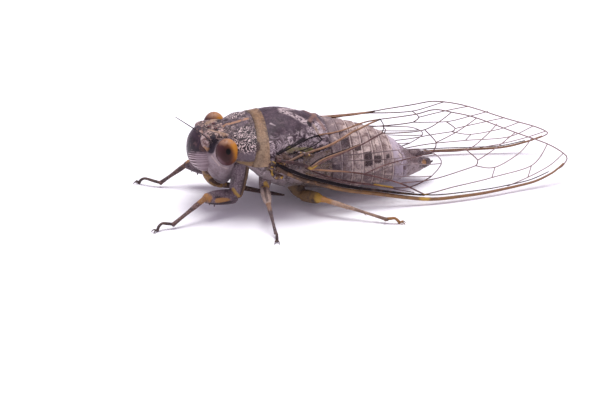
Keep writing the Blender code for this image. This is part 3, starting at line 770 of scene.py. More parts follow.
def makeShin(start, end, radii, spined):
    parts = [shaped(legs["shinShape"], start, end, radii, 0.15)]
    thin = radii[1]
    run = (Vector(end) - Vector(start)).normalized()
    across = run.cross(Vector((0, 0, 1))).normalized()
    for k, share in enumerate(legs["shinSpines"] if spined else ()):
        root = Vector(between(start, end, share)) + across * (thin * 0.7 * (-1) ** k)
        tip = root + across * (0.4 * (-1) ** k) + run * 0.45 - Vector((0, 0, 0.1))
        parts.append(strand((root, root.lerp(tip, 0.5), tip), legs["shinSpineRadii"], 0.1))
    return tubes(parts, 4)


def makeFoot(ankle, foot):
    toes = [strand([ankle, *foot], legs["toeRadii"], 0.1)]
    ahead = Vector(foot[-1]) - Vector(foot[0])
    ahead.z = 0
    ahead.normalize()
    across = ahead.cross(Vector((0, 0, 1)))
    for turn in (1, -1):
        root = Vector(foot[-1]) + Vector((0, 0, 0.12))
        tip = root + ahead * legs["clawLength"] + across * (legs["clawSpread"] * turn)
        tip.z = 0.05
        knuckle = root.lerp(tip, 0.55) + Vector((0, 0, 0.2))
        toes.append(strand((root, knuckle, tip), legs["clawRadii"], 0.08))
    return tubes(toes, 3)


def makeLeg(node, leg, side, paints):
    joints = [mirrored(p, side) for p in leg["joints"]]
    foot = [mirrored(p, side) for p in leg["foot"]]
    pair = node.split("_")[1].title()
    word = "".join(part.title() for part in node.split("_")[1:])
    hip = tubes([shaped(legs["hipShape"], joints[0], joints[1], leg["radii"][0], 0.12)], 5)
    roughen(hip, *legs["hipRoughness"])
    finishPiece(hip, "hip" + word, paints["hip" + pair], [node + "_coxa"])
    thigh = makeThigh(joints[1], joints[2], leg["radii"][1], pair == "Front")
    finishPiece(thigh, "thigh" + word, paints["thigh" + pair], [node + "_femur"])
    shin = makeShin(joints[2], joints[3], leg["radii"][2], pair == "Hind")
    finishPiece(shin, "shin" + word, paints["shin" + pair], [node + "_tibia"])
    toes = makeFoot(between(joints[2], joints[3], 0.98), foot)
    finishPiece(toes, "foot" + word, paints["foot"], [node + "_tarsus"])


def makeLegs(paints):
    for name in ("front_left", "front_right"):
        makeLeg("leg_" + name, legs[name], 1, paints)
    for pair in ("middle", "hind"):
        for name, side in (("left", 1), ("right", -1)):
            makeLeg(f"leg_{pair}_{name}", legs[pair], side, paints)


wings = {
    "root": 15.6,
    # from the hinge: distance, low edge across and up, slope in degrees, bulge, width
    "roof": (
        (0.8, 7.15, 5.5, 88, 0.2, 2.4), (4, 7.2, 4.7, 80, 0.6, 5.2),
        (7, 6.95, 3.9, 68, 1.4, 7.2), (10.5, 6.6, 2.95, 60.5, 2.2, 8.5),
        (14, 6.6, 2.15, 58.5, 2.1, 9.3), (18, 7.1, 1.4, 58.5, 1.3, 10.6),
        (22, 7.5, 0.85, 58.8, 0.8, 11.6), (26, 7.4, 0.75, 60, 0.6, 11.5),
        (30, 7, 0.7, 59.2, 0.5, 10.6),
        (36, 6.1, 0.7, 56.3, 0.4, 9.5), (44, 5.8, 0.7, 48, 0.3, 8),
    ),
    # membrane: distance from the hinge, low edge, high edge
    "foreEdges": (
        (0.5, 1.5, 2.6), (1.8, 1.1, 4.2), (4.4, 0.45, 5.95), (8, -0.1, 7.65), (12.5, -0.2, 9.1),
        (16, -0.2, 10.2), (19, -0.2, 11.1), (22.5, -0.2, 12.3), (25.5, -0.2, 12.2), (29, -0.2, 11.1),
        (32.5, -0.15, 9.6), (36, 0.05, 7.7), (39.2, 0.7, 6.7), (41.6, 1.9, 5.7), (42.6, 2.9, 4.9),
        (42.9, 3.6, 4.2),
    ),
    "hindEdges": (
        (4, 2.3, 2.5), (5.2, 1.4, 3.8), (7, 0.9, 4.4), (10, 0.4, 5.1), (14, 0.35, 5.9),
        (18, 0.7, 6.9), (21.6, 1.7, 7.3), (24, 3.1, 6.3), (24.8, 4, 4.9),
    ),
    "hindDrop": 1.1, "thickness": 0.03, "finestVein": 0.07, "veinStep": 0.4, "gridSize": (120, 40),
    # how far the inner part of a forewing lies in towards the back, and where that starts and ends
    "hug": 0.9, "hugUp": (2.6, 4.6), "hugFrom": (0, 4.2), "hugTo": (-15, -8.5),
}


def wingPoint(back, up, drop, side):
    across, height, slope, bulge, width = (smoothValue(wings["roof"], back, c) for c in range(1, 6))
    slope = math.radians(slope)
    share = up / width
    hug = wings["hug"] * smoothStep(up, *wings["hugUp"])
    hug *= smoothStep(back, *wings["hugFrom"]) * smoothStep(-back, *wings["hugTo"])
    drop = max(drop, hug)
    lean = 4 * bulge / width * (1 - 2 * share)
    under = drop / math.hypot(1, lean)
    out = 4 * bulge * share * (1 - share) - under
    up += under * lean
    return (
        side * (across - up * math.cos(slope) + out * math.sin(slope)),
        wings["root"] + back,
        height + up * math.sin(slope) + out * math.cos(slope),
    )


# A grid laid out on the wing's flat plan, and then folded onto the roof.
def makeMembrane(name, edges, drop, side, nodes, paint):
    clearSelection()
    columns, rows = wings["gridSize"]
    bpy.ops.mesh.primitive_grid_add(x_subdivisions=columns, y_subdivisions=rows, size=1)
    sheet = bpy.context.object
    start, end = edges[0][0], edges[-1][0]
    for vertex in sheet.data.vertices:
        back = start + (end - start) * (vertex.co.x + 0.5)
        low, high = smoothValue(edges, back, 1), smoothValue(edges, back, 2)
        up = low + (high - low) * (vertex.co.y + 0.5)
        vertex.co = place(wingPoint(back, up, drop, side))
    film = sheet.modifiers.new("film", "SOLIDIFY")
    film.thickness = wings["thickness"] * mm
    film.offset = 0
    applyModifiers(sheet)
    finishPiece(sheet, name, paint, nodes)


# Veins by finish: radius at the start and at the end, then points on the wing's plan.
foreVeins = {
    "blackVein": (
        (0.26, 0.2, (0.6, 2.3), (2.9, 1.7), (5.2, 1.1), (9.1, 0.5), (12, 0.3)),
        (0.22, 0.13, (12, 0.3), (16, 0.32), (20.9, 0.38)),
        (0.09, 0.05, (20.9, 0.42), (26, 0.4), (32, 0.4), (36, 0.6), (39, 1.4)),
        (0.09, 0.11, (7.2, 7.4), (5.7, 6.7), (4, 5.65), (2.3, 4.5), (1, 3.6)),
        (0.05, 0.04, (7.2, 7.3), (7.5, 6.9), (7.2, 6.5), (6.3, 5.8), (5, 5.1), (3.5, 4.4), (2.4, 3.9)),
        (0.06, 0.04, (5, 2.6), (6.6, 3.65), (9, 4.8), (11.3, 5.72), (12.6, 6.2)),
        (0.07, 0.05, (2.3, 2.75), (3.7, 3.5), (4.6, 4), (6.2, 4.75), (7.9, 5.5)),
        (0.07, 0.07, (16.2, 10.2), (16.4, 9.2), (15.9, 8.1)),
    ),
    "brownVein": (
        (0.06, 0.05, (4.2, 1.85), (5.3, 1.5), (7.5, 1.16), (9.4, 0.85), (12.2, 0.85), (16, 0.8),
         (19.5, 0.6)),
        (0.09, 0.075, (40.2, 1.6), (41, 1.9), (41.9, 2.9), (41.5, 3.7), (39.4, 5.2), (34.9, 7.3),
         (29.5, 10.1), (26, 11.3), (23.6, 11.9), (20.9, 11.3), (16.2, 10.2)),
        (0.24, 0.2, (0.9, 2.9), (1.6, 2.9), (2.9, 2.95), (4.4, 2.75), (5.35, 2.35)),
        (0.1, 0.08, (12.6, 2.1), (16.8, 4.2), (22.6, 6.2)),
        (0.11, 0.1, (12.6, 2.1), (17.5, 1.6), (20.9, 0.45)),
        (0.065, 0.06, (17.5, 1.6), (23.3, 2.7), (28.4, 3.7)),
        (0.12, 0.1, (5.35, 2.35), (6.9, 3.26), (9.2, 4.38), (11.4, 5.5), (13.4, 6.5), (15.9, 8.1)),
        (0.09, 0.06, (15.9, 8.1), (18.5, 8.5), (21.9, 9.2), (24.3, 10.3), (26, 11.3)),
        (0.07, 0.08, (21.9, 9.2), (23.2, 7.4), (22.6, 6.2)),
        (0.08, 0.055, (20.9, 0.45), (24.6, 1.2), (30.6, 1.8), (36.6, 2.5), (39.4, 5.2)),
        (0.05, 0.05, (36.6, 2.5), (35.9, 1)),
        (0.06, 0.05, (32.8, 0.3), (35.9, 1), (39.2, 2.2), (41.5, 3.7)),
        (0.075, 0.05, (28.4, 3.7), (31.2, 3.1), (35, 4.4), (37.3, 6.3)),
        (0.065, 0.06, (31.2, 3.1), (30.6, 1.8)),
        (0.06, 0.05, (28.8, 4.4), (31.8, 5.7), (34.9, 7.3)),
        (0.08, 0.08, (27.3, 6), (28.8, 4.4), (28.4, 3.7)),
        (0.075, 0.05, (22.6, 6.2), (27.3, 6), (30.4, 7.5), (32.4, 8.9)),
        (0.06, 0.05, (23.2, 7.4), (26.4, 8.6), (29.5, 10.1)),
    ),
    "costa": (
        (0.3, 0.26, (0.7, 2), (2.2, 1.3), (4.5, 0.65), (7, 0.25), (10, -0.1), (16, -0.12),
         (20.9, -0.15)),
        (0.26, 0.13, (20.9, -0.15), (26, -0.1), (30, -0.05), (36, 0.2), (39, 1), (40.4, 1.7),
         (41.3, 2.3)),
    ),
    "orangeVein": (
        (0.1, 0.12, (16.2, 10.2), (13.4, 9.35), (11.4, 8.65), (8.4, 7.8), (7.2, 7.4)),
        (0.14, 0.1, (5.35, 2.3), (7.8, 2.2), (10, 2.2), (12.6, 2.1)),
        (0.13, 0.08, (5.2, 2.5), (6.75, 3.45), (9.1, 4.6), (11.3, 5.6), (12.6, 6.15)),
        (0.19, 0.12, (1.4, 2.8), (2.15, 2.9), (3.6, 3.7), (4.5, 4.2), (6.1, 4.95), (7.8, 5.7),
         (9.7, 6.8), (12, 8.1), (13.2, 8.6), (16.2, 10.2)),
    ),
}
hindVeins = {
    "brownVein": (
        (0.12, 0.08, (4.8, 2), (7.5, 0.9), (10.4, 0.42), (14.5, 0.42), (16.9, 0.56), (19.5, 1.2),
         (22.4, 2.9)),
    ),
    "costa": (
        (0.17, 0.17, (14.3, 0.42), (15.6, 0.48), (16.9, 0.56)),
    ),
    "paleVein": (
        (0.06, 0.06, (22.4, 2.9), (23.9, 4.6), (23.2, 5.9), (21.4, 6.7), (18, 6.3), (14, 5.3),
         (10.2, 4.5)),
        (0.08, 0.06, (6, 2.2), (10, 1.8), (14, 1.9), (18, 2.4), (22.4, 2.9)),
        (0.06, 0.06, (14, 1.9), (18, 4.1), (23.9, 4.6)),
        (0.07, 0.06, (6.4, 2.8), (10, 3.4), (14.5, 4.2), (18.6, 5.2), (23.2, 5.9)),
        (0.06, 0.06, (18, 4.1), (18.6, 5.2), (18, 6.3)),
    ),
}


def veinStrand(vein, drop, side):
    start, end, *points = vein
    plan = smoothPath([(*p, 0) for p in points], wings["veinStep"])
    spots = [place(wingPoint(spot.x, spot.y, drop, side)) for spot in plan]
    last = len(plan) - 1
    return spots, [max(wings["finestVein"], start + (end - start) * k / last) for k in range(last + 1)]


def makeVeins(name, veins, drop, side, nodes, paints):
    for kind, rows in veins.items():
        net = tubes([veinStrand(vein, drop, side) for vein in rows], 2)
        finishPiece(net, name + kind[0].upper() + kind[1:], paints[kind], nodes)


# Small hard plates and knobs that carry the wing: three radii, then the three points.
hinge = {
    "knobs": (
        ((0.35, 0.6, 0.4), (5.9, 15.3, 8), (6.5, 15.9, 7.4), (6.9, 16.6, 6.4)),
        ((0.25, 0.42, 0.25), (5.8, 16.4, 8.6), (6.3, 16.9, 8), (6.7, 17.6, 7.2)),
        ((0.25, 0.4, 0.2), (5.7, 17.5, 8.5), (6.1, 18.1, 7.9), (6.5, 19.2, 7.4)),
        ((0.3, 0.45, 0.25), (6.1, 15.8, 6.8), (6.8, 16.3, 6.1), (7.1, 17.2, 5.9)),
        ((0.2, 0.34, 0.15), (5.5, 19, 8.8), (5.9, 20, 8.4), (6, 21.4, 8.2)),
    ),
    "roughness": (0.35, 0.12),
}


def makeHinge(word, side, nodes, paint):
    lines = [([mirrored(p, side) for p in points], radii) for radii, *points in hinge["knobs"]]
    carrier = tubes([strand(points, radii, 0.1) for points, radii in lines], 4)
    roughen(carrier, *hinge["roughness"])
    finishPiece(carrier, "wingHinge" + word, paint, nodes)


def makeWings(paints):
    for word, side in (("Left", 1), ("Right", -1)):
        for pair, veins, drop in (("fore", foreVeins, 0), ("hind", hindVeins, wings["hindDrop"])):
            name, nodes = f"{pair}wing{word}", [f"{pair}wing_{word.lower()}"]
            makeMembrane(name, wings[pair + "Edges"], drop, side, nodes, paints["membrane"])
            makeVeins(name, veins, drop, side, nodes, paints)
            if pair == "fore":
                makeHinge(word, side, nodes, paints["hinge"])


def paintPronotum():
    p = Paint("scribbledPronotum", "umber", 0.45)
    p.layer((0.13, 0.09, 0.11), 0.75, p.patches(0.9, 0.45, 0.6))
    p.layer("cream", 0.6, p.scribble(1.4, 0.03, 2), p.patches(0.6, 0.45, 0.56))
    p.grain("black", "lilacGrey", 0.7, 0.5)
    disc = p.blob((3.9, 12.9, 10.4), (2.5, 1.65, 2.1), 0.08, 0.06)
    p.layer("black", 0.95, disc)
    p.layer((0.13, 0.08, 0.09), 0.6, disc, p.patches(1.6, 0.5, 0.62))
    lines = p.times(p.maze(0.3, 0.28, 13, 1.8), p.patches(1.3, 0.34, 0.44, 2), p.fade(p.up, 11.6, 11.1))
    p.layer((0.62, 0.48, 0.46), 0.95, lines, disc)
    ridge = p.stroke((0, 10.6, 10.9), (0, 13.8, 11.7), 0.34, 0.4, 0.2)
    p.layer((0.42, 0.22, 0.12), 0.85, ridge, p.patches(2, 0.4, 0.52))
    p.layer((0.16, 0.12, 0.14), 0.75, p.stroke((5.3, 12, 8.7), (6.2, 13.9, 8.8), 0.6, 0.6, 0.3))
    p.layer("olive", 0.9, p.stroke((6.4, 14.4, 7.9), (4.8, 11.2, 7.4), 0.5, 0.25, 0.1))
    p.layer("tan", 0.6, p.stroke((6.5, 14.3, 7.6), (5, 11.2, 7.1), 0.28))
    p.relief(lines, 0.03)
    p.fuzz("pale", 0.2, 0.02)
    return p.done()


def paintCollar():
    p = Paint("oliveCollar", (0.26, 0.18, 0.115), 0.5)
    p.layer((0.24, 0.13, 0.06), 0.85, p.fade(p.up, 9.4, 12))
    p.layer((0.1, 0.06, 0.035), 0.55, p.patches(1.5, 0.5, 0.66))
    p.layer((0.33, 0.23, 0.17), 0.35, p.patches(1.1, 0.5, 0.7, 3))
    slant = p.minus(p.back, p.times(p.up, 0.3))     # the same all along its front edge
    p.layer((0.09, 0.055, 0.03), 0.7, p.fade(slant, 11.5, 11.1))
    p.layer((0.42, 0.27, 0.16), 0.5, p.fade(slant, 11.9, 12.5), p.patches(1, 0.36, 0.56))
    p.layer("umber", 0.9, p.blob((5.5, 14, 10), (0.8, 0.5, 0.8), 0.25, 0.15))
    p.layer("umber", 0.6, p.fade(p.back, 15.2, 15.75), p.patches(1.8, 0.4, 0.55))
    p.grain("umber", (0.42, 0.3, 0.2), 0.35, 0.3, 4)
    return p.done()


def paintMesonotum():
    p = Paint("slateBack", (0.062, 0.038, 0.052), 0.48, Specular_IOR_Level=0.2)
    p.layer((0.03, 0.016, 0.022), 0.7, p.patches(0.6, 0.46, 0.62, 3))
    p.layer((0.14, 0.09, 0.105), 0.5, p.patches(0.9, 0.5, 0.66, 4, 0.6, 0.5))
    p.grain("black", "lilacGrey", 0.3, 0.15, 5)
    low = p.fade(p.plus(p.up, p.times(p.noise(0.9, 3), 1.6)), 11.9, 11)
    p.layer((0.33, 0.26, 0.28), 0.85, low, p.patches(0.8, 0.4, 0.56, 5, 0.65, 0.8))
    p.layer("pale", 0.7, low, p.patches(1.1, 0.5, 0.62, 4, 0.55, 1.2))
    p.layer((0.03, 0.016, 0.02), 0.85, low, p.scribble(0.8, 0.06, 2))
    spine = p.stroke((0.3, 18.7, 12.3), (1.9, 21.2, 11.3), 0.6, 0.4, 0.35)
    spine = p.times(spine, p.patches(2.2, 0.38, 0.56))
    p.layer((0.56, 0.45, 0.45), 0.85, spine)
    rear = p.blob((2.6, 22.6, 10.4), (1.4, 1.3, 1), 0.4, 0.3)
    p.layer("pale", 0.85, rear, p.patches(3, 0.46, 0.58, 4, 0.7, 1))
    # painted highlight: a thin pale streak on the rounded top of the back
    p.layer("pale", 0.6, p.stroke((2.7, 16.5, 11.8), (3.1, 17, 11.6), 0.12, 0.8, 0.6))
    p.layer("black", 0.97, p.blob((2.16, 21.85, 11), (0.55, 0.32, 0.5), 0.25))
    p.layer((0.24, 0.13, 0.1), 0.7, p.stroke((0, 23, 11.1), (1.7, 22, 11.1), 0.3, 0.5, 0.2))
    p.layer((0.24, 0.13, 0.1), 0.7, p.stroke((0, 23, 11.1), (2.5, 23.7, 10.2), 0.32, 0.5, 0.2))
    p.layer("black", 0.95, p.stroke((5.9, 16.6, 8.8), (4.3, 20.6, 9.9), 0.2))
    p.layer((0.22, 0.2, 0.05), 0.75, p.stroke((5.5, 18.4, 8.9), (5.2, 21.4, 8.4), 0.45, 0.4, 0.4))
    p.layer("black", 0.8, p.fade(p.up, 8.9, 8.5), p.patches(1.2, 0.42, 0.54))
    p.polish(0.7, spine)
    p.relief(p.noise(9), 0.02)
    return p.done()


def paintThorax():
    p = Paint("greyThorax", (0.27, 0.205, 0.215), 0.65, Sheen_Weight=0.2)
    p.layer("umber", 0.8, p.patches(0.8, 0.5, 0.62))
    p.layer("pale", 0.65, p.patches(1.4, 0.52, 0.66, 5, 0.7))
    p.layer("black", 0.85, p.stroke((6.2, 14.1, 8.9), (6.5, 16.4, 7), 0.6, 0.4, 0.2))
    p.layer("yellow", 0.75, p.stroke((6.3, 15.5, 6.8), (6.3, 15.9, 6.4), 0.3, 0.3, 0.15))
    rear = p.fade(p.back, 18.6, 20)
    p.layer((0.36, 0.26, 0.22), 0.8, rear)
    base = p.stroke((6.3, 15.6, 7.6), (5.9, 19.5, 7.2), 1.1, 0.4, 0.3)
    p.layer("black", 0.85, base)
    # painted glints: pale specks of highlight laid over the dark wing base
    p.layer("pale", 0.8, base, p.patches(1.3, 0.54, 0.62, 3, 0.6, 1))
    p.layer("yellow", 0.6, base, p.patches(1, 0.58, 0.66, 2))
    p.layer((0.2, 0.13, 0.07), 0.8, rear, p.patches(0.7, 0.46, 0.6))
    p.layer("umber", 0.8, rear, p.patches(1.1, 0.52, 0.62, 4, 0.6, 1))
    p.layer("umber", 0.75, p.fade(p.up, 4.6, 3.4), p.patches(0.8, 0.36, 0.5))
    p.layer("olive", 0.7, p.fade(p.up, 3.8, 2.6), p.patches(1, 0.45, 0.6))
    p.grain("umber", "pale", 0.35, 0.3, 5)
    p.fuzz("pale", 0.5, 0.05)
    return p.done()


def paintAbdomen():
    p = Paint("greyAbdomen", (0.7, 0.56, 0.5), 0.55)
    length = (abdomen["end"] - abdomen["start"]) / abdomen["segments"]
    turn = p.math("DIVIDE", p.minus(p.back, abdomen["start"]), length)
    share = p.math("FRACT", turn)
    p.layer((0.28, 0.2, 0.19), 0.8, p.patches(0.7, 0.46, 0.6, 4, 0.65, 0.6))
    p.layer((0.2, 0.15, 0.16), 0.7, p.fade(p.back, 27.8, 26), p.patches(0.8, 0.38, 0.52, 3))
    p.layer((0.12, 0.065, 0.055), 0.8, p.patches(0.9, 0.49, 0.6, 4, 0.6, 0.6), p.fade(p.up, 4.5, 7.5))
    p.layer((0.2, 0.14, 0.15), 0.8, p.fade(p.up, 4.6, 3.8), p.patches(1, 0.36, 0.52))
    p.layer("umber", 0.8, p.fade(share, 0.24, 0.08), p.fade(p.up, 6.6, 8.2), p.patches(1.7, 0.4, 0.5))
    p.grain("brown", "cream", 0.35, 0.3, 4.5)
    p.layer((0.03, 0.03, 0.045), 0.85, p.stroke((0.5, 31.85, 7.3), (2.4, 31.7, 7), 0.2, 0.3, 0.1))
    p.layer((0.3, 0.2, 0.18), 0.3, p.fade(p.up, 7.2, 8.6))
    drift = p.times(p.minus(p.noise(1.8), 0.5), 0.6)
    for y0, y1, z0, z1 in abdomen["squares"]:
        square = p.times(
            p.band(p.plus(p.back, drift), y0, y1), p.band(p.minus(p.up, drift), z0, z1),
            p.fade(p.side, 2.5, 2.9),
        )
        p.layer((0.04, 0.02, 0.02), 0.95, square)
    p.layer((0.09, 0.05, 0.05), 0.8, p.band(share, 0.76, 0.83, 0.04), p.patches(1.6, 0.4, 0.54))
    p.layer((0.12, 0.07, 0.07), 0.75, p.band(share, 0.04, 0.1, 0.04), p.patches(1.1, 0.34, 0.5))
    p.layer((0.68, 0.54, 0.49), 0.8, p.fade(share, 0.86, 0.92), p.patches(1.4, 0.34, 0.44))
    p.layer((0.14, 0.1, 0.11), 0.7, p.fade(p.back, 27.2, 25.4), p.patches(1, 0.36, 0.52, 4, 0.6, 0.8))
    p.layer((0.52, 0.44, 0.52), 0.85, p.fade(p.back, 33, 33.5), p.patches(1.5, 0.35, 0.5))
    p.layer("umber", 0.7, p.fade(p.cells(3.4), 0.22, 0.12))
    p.fuzz("pale", 0.25, 0.03)
    return p.done()


def paintTail():
    p = Paint("brownTail", (0.24, 0.17, 0.17), 0.5)
    p.layer((0.13, 0.08, 0.08), 0.8, p.fade(p.up, 3.3, 3.8), p.patches(0.8, 0.36, 0.5))
    p.layer("pale", 0.5, p.fade(p.up, 3.8, 3.4), p.patches(1.1, 0.42, 0.56))
    p.layer((0.5, 0.42, 0.5), 0.7, p.fade(p.back, 35.6, 34.9), p.patches(1.4, 0.4, 0.55))
    p.layer("umber", 0.8, p.fade(p.back, 37, 37.6), p.patches(1.5, 0.38, 0.5))
    p.layer("orange", 0.9, p.blob((0.7, 38.2, 3), (0.5, 0.35, 0.35)))
    p.grain("umber", "pale", 0.35, 0.3, 4.5)
    p.fuzz("pale", 0.35, 0.04)
    return p.done()


def paintHead():
    p = Paint("greyHead", (0.25, 0.19, 0.205), 0.6, Sheen_Weight=0.15)
    p.layer((0.36, 0.29, 0.31), 0.7, p.patches(0.6, 0.42, 0.62))
    p.layer((0.17, 0.12, 0.13), 0.5, p.patches(0.8, 0.54, 0.68))
    p.grain((0.13, 0.09, 0.1), "pale", 0.3, 0.25, 5.5)
    crown = p.fade(p.up, 9.4, 10)
    p.layer("umber", 0.96, crown)
    p.layer((0.2, 0.12, 0.11), 0.8, crown, p.patches(0.9, 0.46, 0.58, 3))
    wrinkles = p.times(p.scribble(0.75, 0.05, 2), crown)
    p.layer((0.5, 0.34, 0.29), 0.85, wrinkles)
    p.layer("black", 0.85, p.scribble(0.9, 0.04, 1.5, (1.2, 1, 1)), crown)
    p.layer((0.42, 0.26, 0.16), 0.6, p.stroke((1, 8.6, 11.2), (2.6, 10.3, 10.9), 0.35, 0.5, 0.4), crown)
    p.layer((0.03, 0.022, 0.036), 0.93, p.stroke((2.5, 8.9, 10.2), (2.95, 8.4, 8.9), 0.5, 0.35, 0.15))
    plate = p.blob((2.3, 7.7, 10.15), (0.95, 0.75, 0.8), 0.25, 0.25)
    p.layer((0.22, 0.13, 0.12), 0.85, plate)
    p.layer((0.58, 0.44, 0.41), 0.85, plate, p.patches(1.7, 0.47, 0.56))
    p.layer("orange", 0.6, p.blob((2.75, 7.8, 9.2), (0.4, 0.4, 0.5), 0.3, 0.2))
    rim = p.blob((4.5, 10.25, 9.1), (1.9, 1.95, 2.25), 0.08)
    p.layer((0.45, 0.35, 0.36), 0.8, rim, p.fade(p.back, 10.9, 10.2))
    p.layer("cream", 0.6, p.stroke((3.43, 8.45, 8.2), (3.66, 9.32, 6.95), 0.1, 0.9, 0.5))
    p.layer("cream", 0.4, p.stroke((3.66, 9.32, 6.95), (3.68, 10.4, 6.3), 0.09, 0.9, 0.5))
    p.layer("umber", 0.6, p.stroke((2.1, 8, 6), (1.75, 9.6, 4.3), 0.14))
    p.layer("umber", 0.85, p.stroke((1.5, 9.1, 4.1), (1.5, 9.7, 3.5), 0.4, 0.3, 0.2))
    p.relief(wrinkles, 0.08)
    return p.done()


def paintFace():
    p = Paint("stripedFace", (0.045, 0.026, 0.038), 0.4)
    rise = p.times(p.side, head["stripeRise"], p.fade(p.up, *head["stripesBend"]))
    level = p.minus(p.up, rise)
    wave = p.math("COSINE", p.times(level, 2 * math.pi / head["stripePeriod"]))
    below = head["stripesBelow"]
    ragged = p.plus(level, p.times(p.noise(0.9, 2), 1.4))
    striped = p.times(p.fade(ragged, below + 1.2, below + 0.35), p.fade(p.side, 0.35, 1))
    p.layer("black", 0.6, p.patches(0.7, 0.42, 0.6))
    p.layer((0.16, 0.09, 0.09), 0.5, p.patches(1.3, 0.52, 0.64, 3, 0.6, 0.5, (1, 1, 0.35)))
    p.layer((0.06, 0.024, 0.03), 0.9, striped)
    p.layer((0.62, 0.48, 0.51), 0.92, striped, p.fade(wave, -0.05, 0.5))
    p.layer((0.28, 0.21, 0.23), 0.85, striped, p.fade(p.side, 1.8, 2.4))
    edge = p.stroke((0, 5.7, 9.4), (0, 5.9, 7.3), 0.25, 0.5)
    p.layer((0.45, 0.3, 0.3), 0.7, edge, p.patches(1.5, 0.4, 0.6))
    p.layer("brown", 0.8, p.blob((2.7, 7.6, 9.4), (0.6, 0.6, 0.7), 0.4, 0.2))
    brow = p.blob((1.4, 7.5, 10.7), (1.3, 0.5, 0.35), 0.4, 0.3)
    p.layer((0.4, 0.25, 0.2), 0.75, brow, p.patches(2, 0.44, 0.54))
    p.relief(p.noise(6), 0.03)
    return p.done()


def paintSnout():
    p = Paint("tanSnout", (0.3, 0.17, 0.05), 0.5)
    p.layer((0.2, 0.14, 0.14), 0.6, p.patches(1.2, 0.45, 0.6))
    p.layer("umber", 0.85, p.stroke((0.9, 8.9, 3.6), (1.1, 9.8, 3), 0.4, 0.3, 0.15))
    p.layer("umber", 0.7, p.stroke((0.6, 8, 5), (0.9, 8.5, 4.6), 0.25))
    p.grain("umber", "cream", 0.5, 0.35)
    return p.done()


def paintEye():
    p = Paint("amberEye", (0.06, 0.02, 0.022), 0.4, Specular_IOR_Level=0.18)
    rear = p.plus(p.times(p.back, 0.8), p.times(p.up, 0.3))
    p.layer((0.2, 0.07, 0.02), 0.8, p.fade(rear, 10.7, 11.3))
    p.layer((0.52, 0.21, 0.025), 0.95, p.fade(rear, 11.2, 11.9))
    # painted highlight: the top of the eye lighter and pinkish where the overhead light falls on it
    p.layer((0.36, 0.2, 0.13), 0.7, p.fade(p.up, 10.2, 10.8), p.patches(1.6, 0.36, 0.5))
    p.layer((0.03, 0.008, 0.008), 0.85, p.blob((5.9, 10.1, 9.4), (1, 0.75, 1.2), 0.5))
    p.layer((0.16, 0.09, 0.11), 0.6, p.stroke((5.2, 9, 8.6), (5.7, 9.7, 7.6), 0.3, 0.8))
    p.layer((0.002, 0.001, 0.001), 1, p.blob((5.9, 10.2, 9.75), (0.6, 0.34, 0.42), 0.25))
    p.relief(p.cells(12), -0.01)
    return p.done()


def speckledPaint(name, colour, dark, roughness=0.45, scale=2, hairs=0.25):
    p = Paint(name, colour, roughness)
    p.layer(dark, 0.8, p.patches(scale * 0.6, 0.44, 0.6, 4))
    p.grain("umber", "pale", 0.35, hairs, 5.5)
    p.fuzz("pale", hairs, 0.03)
    return p


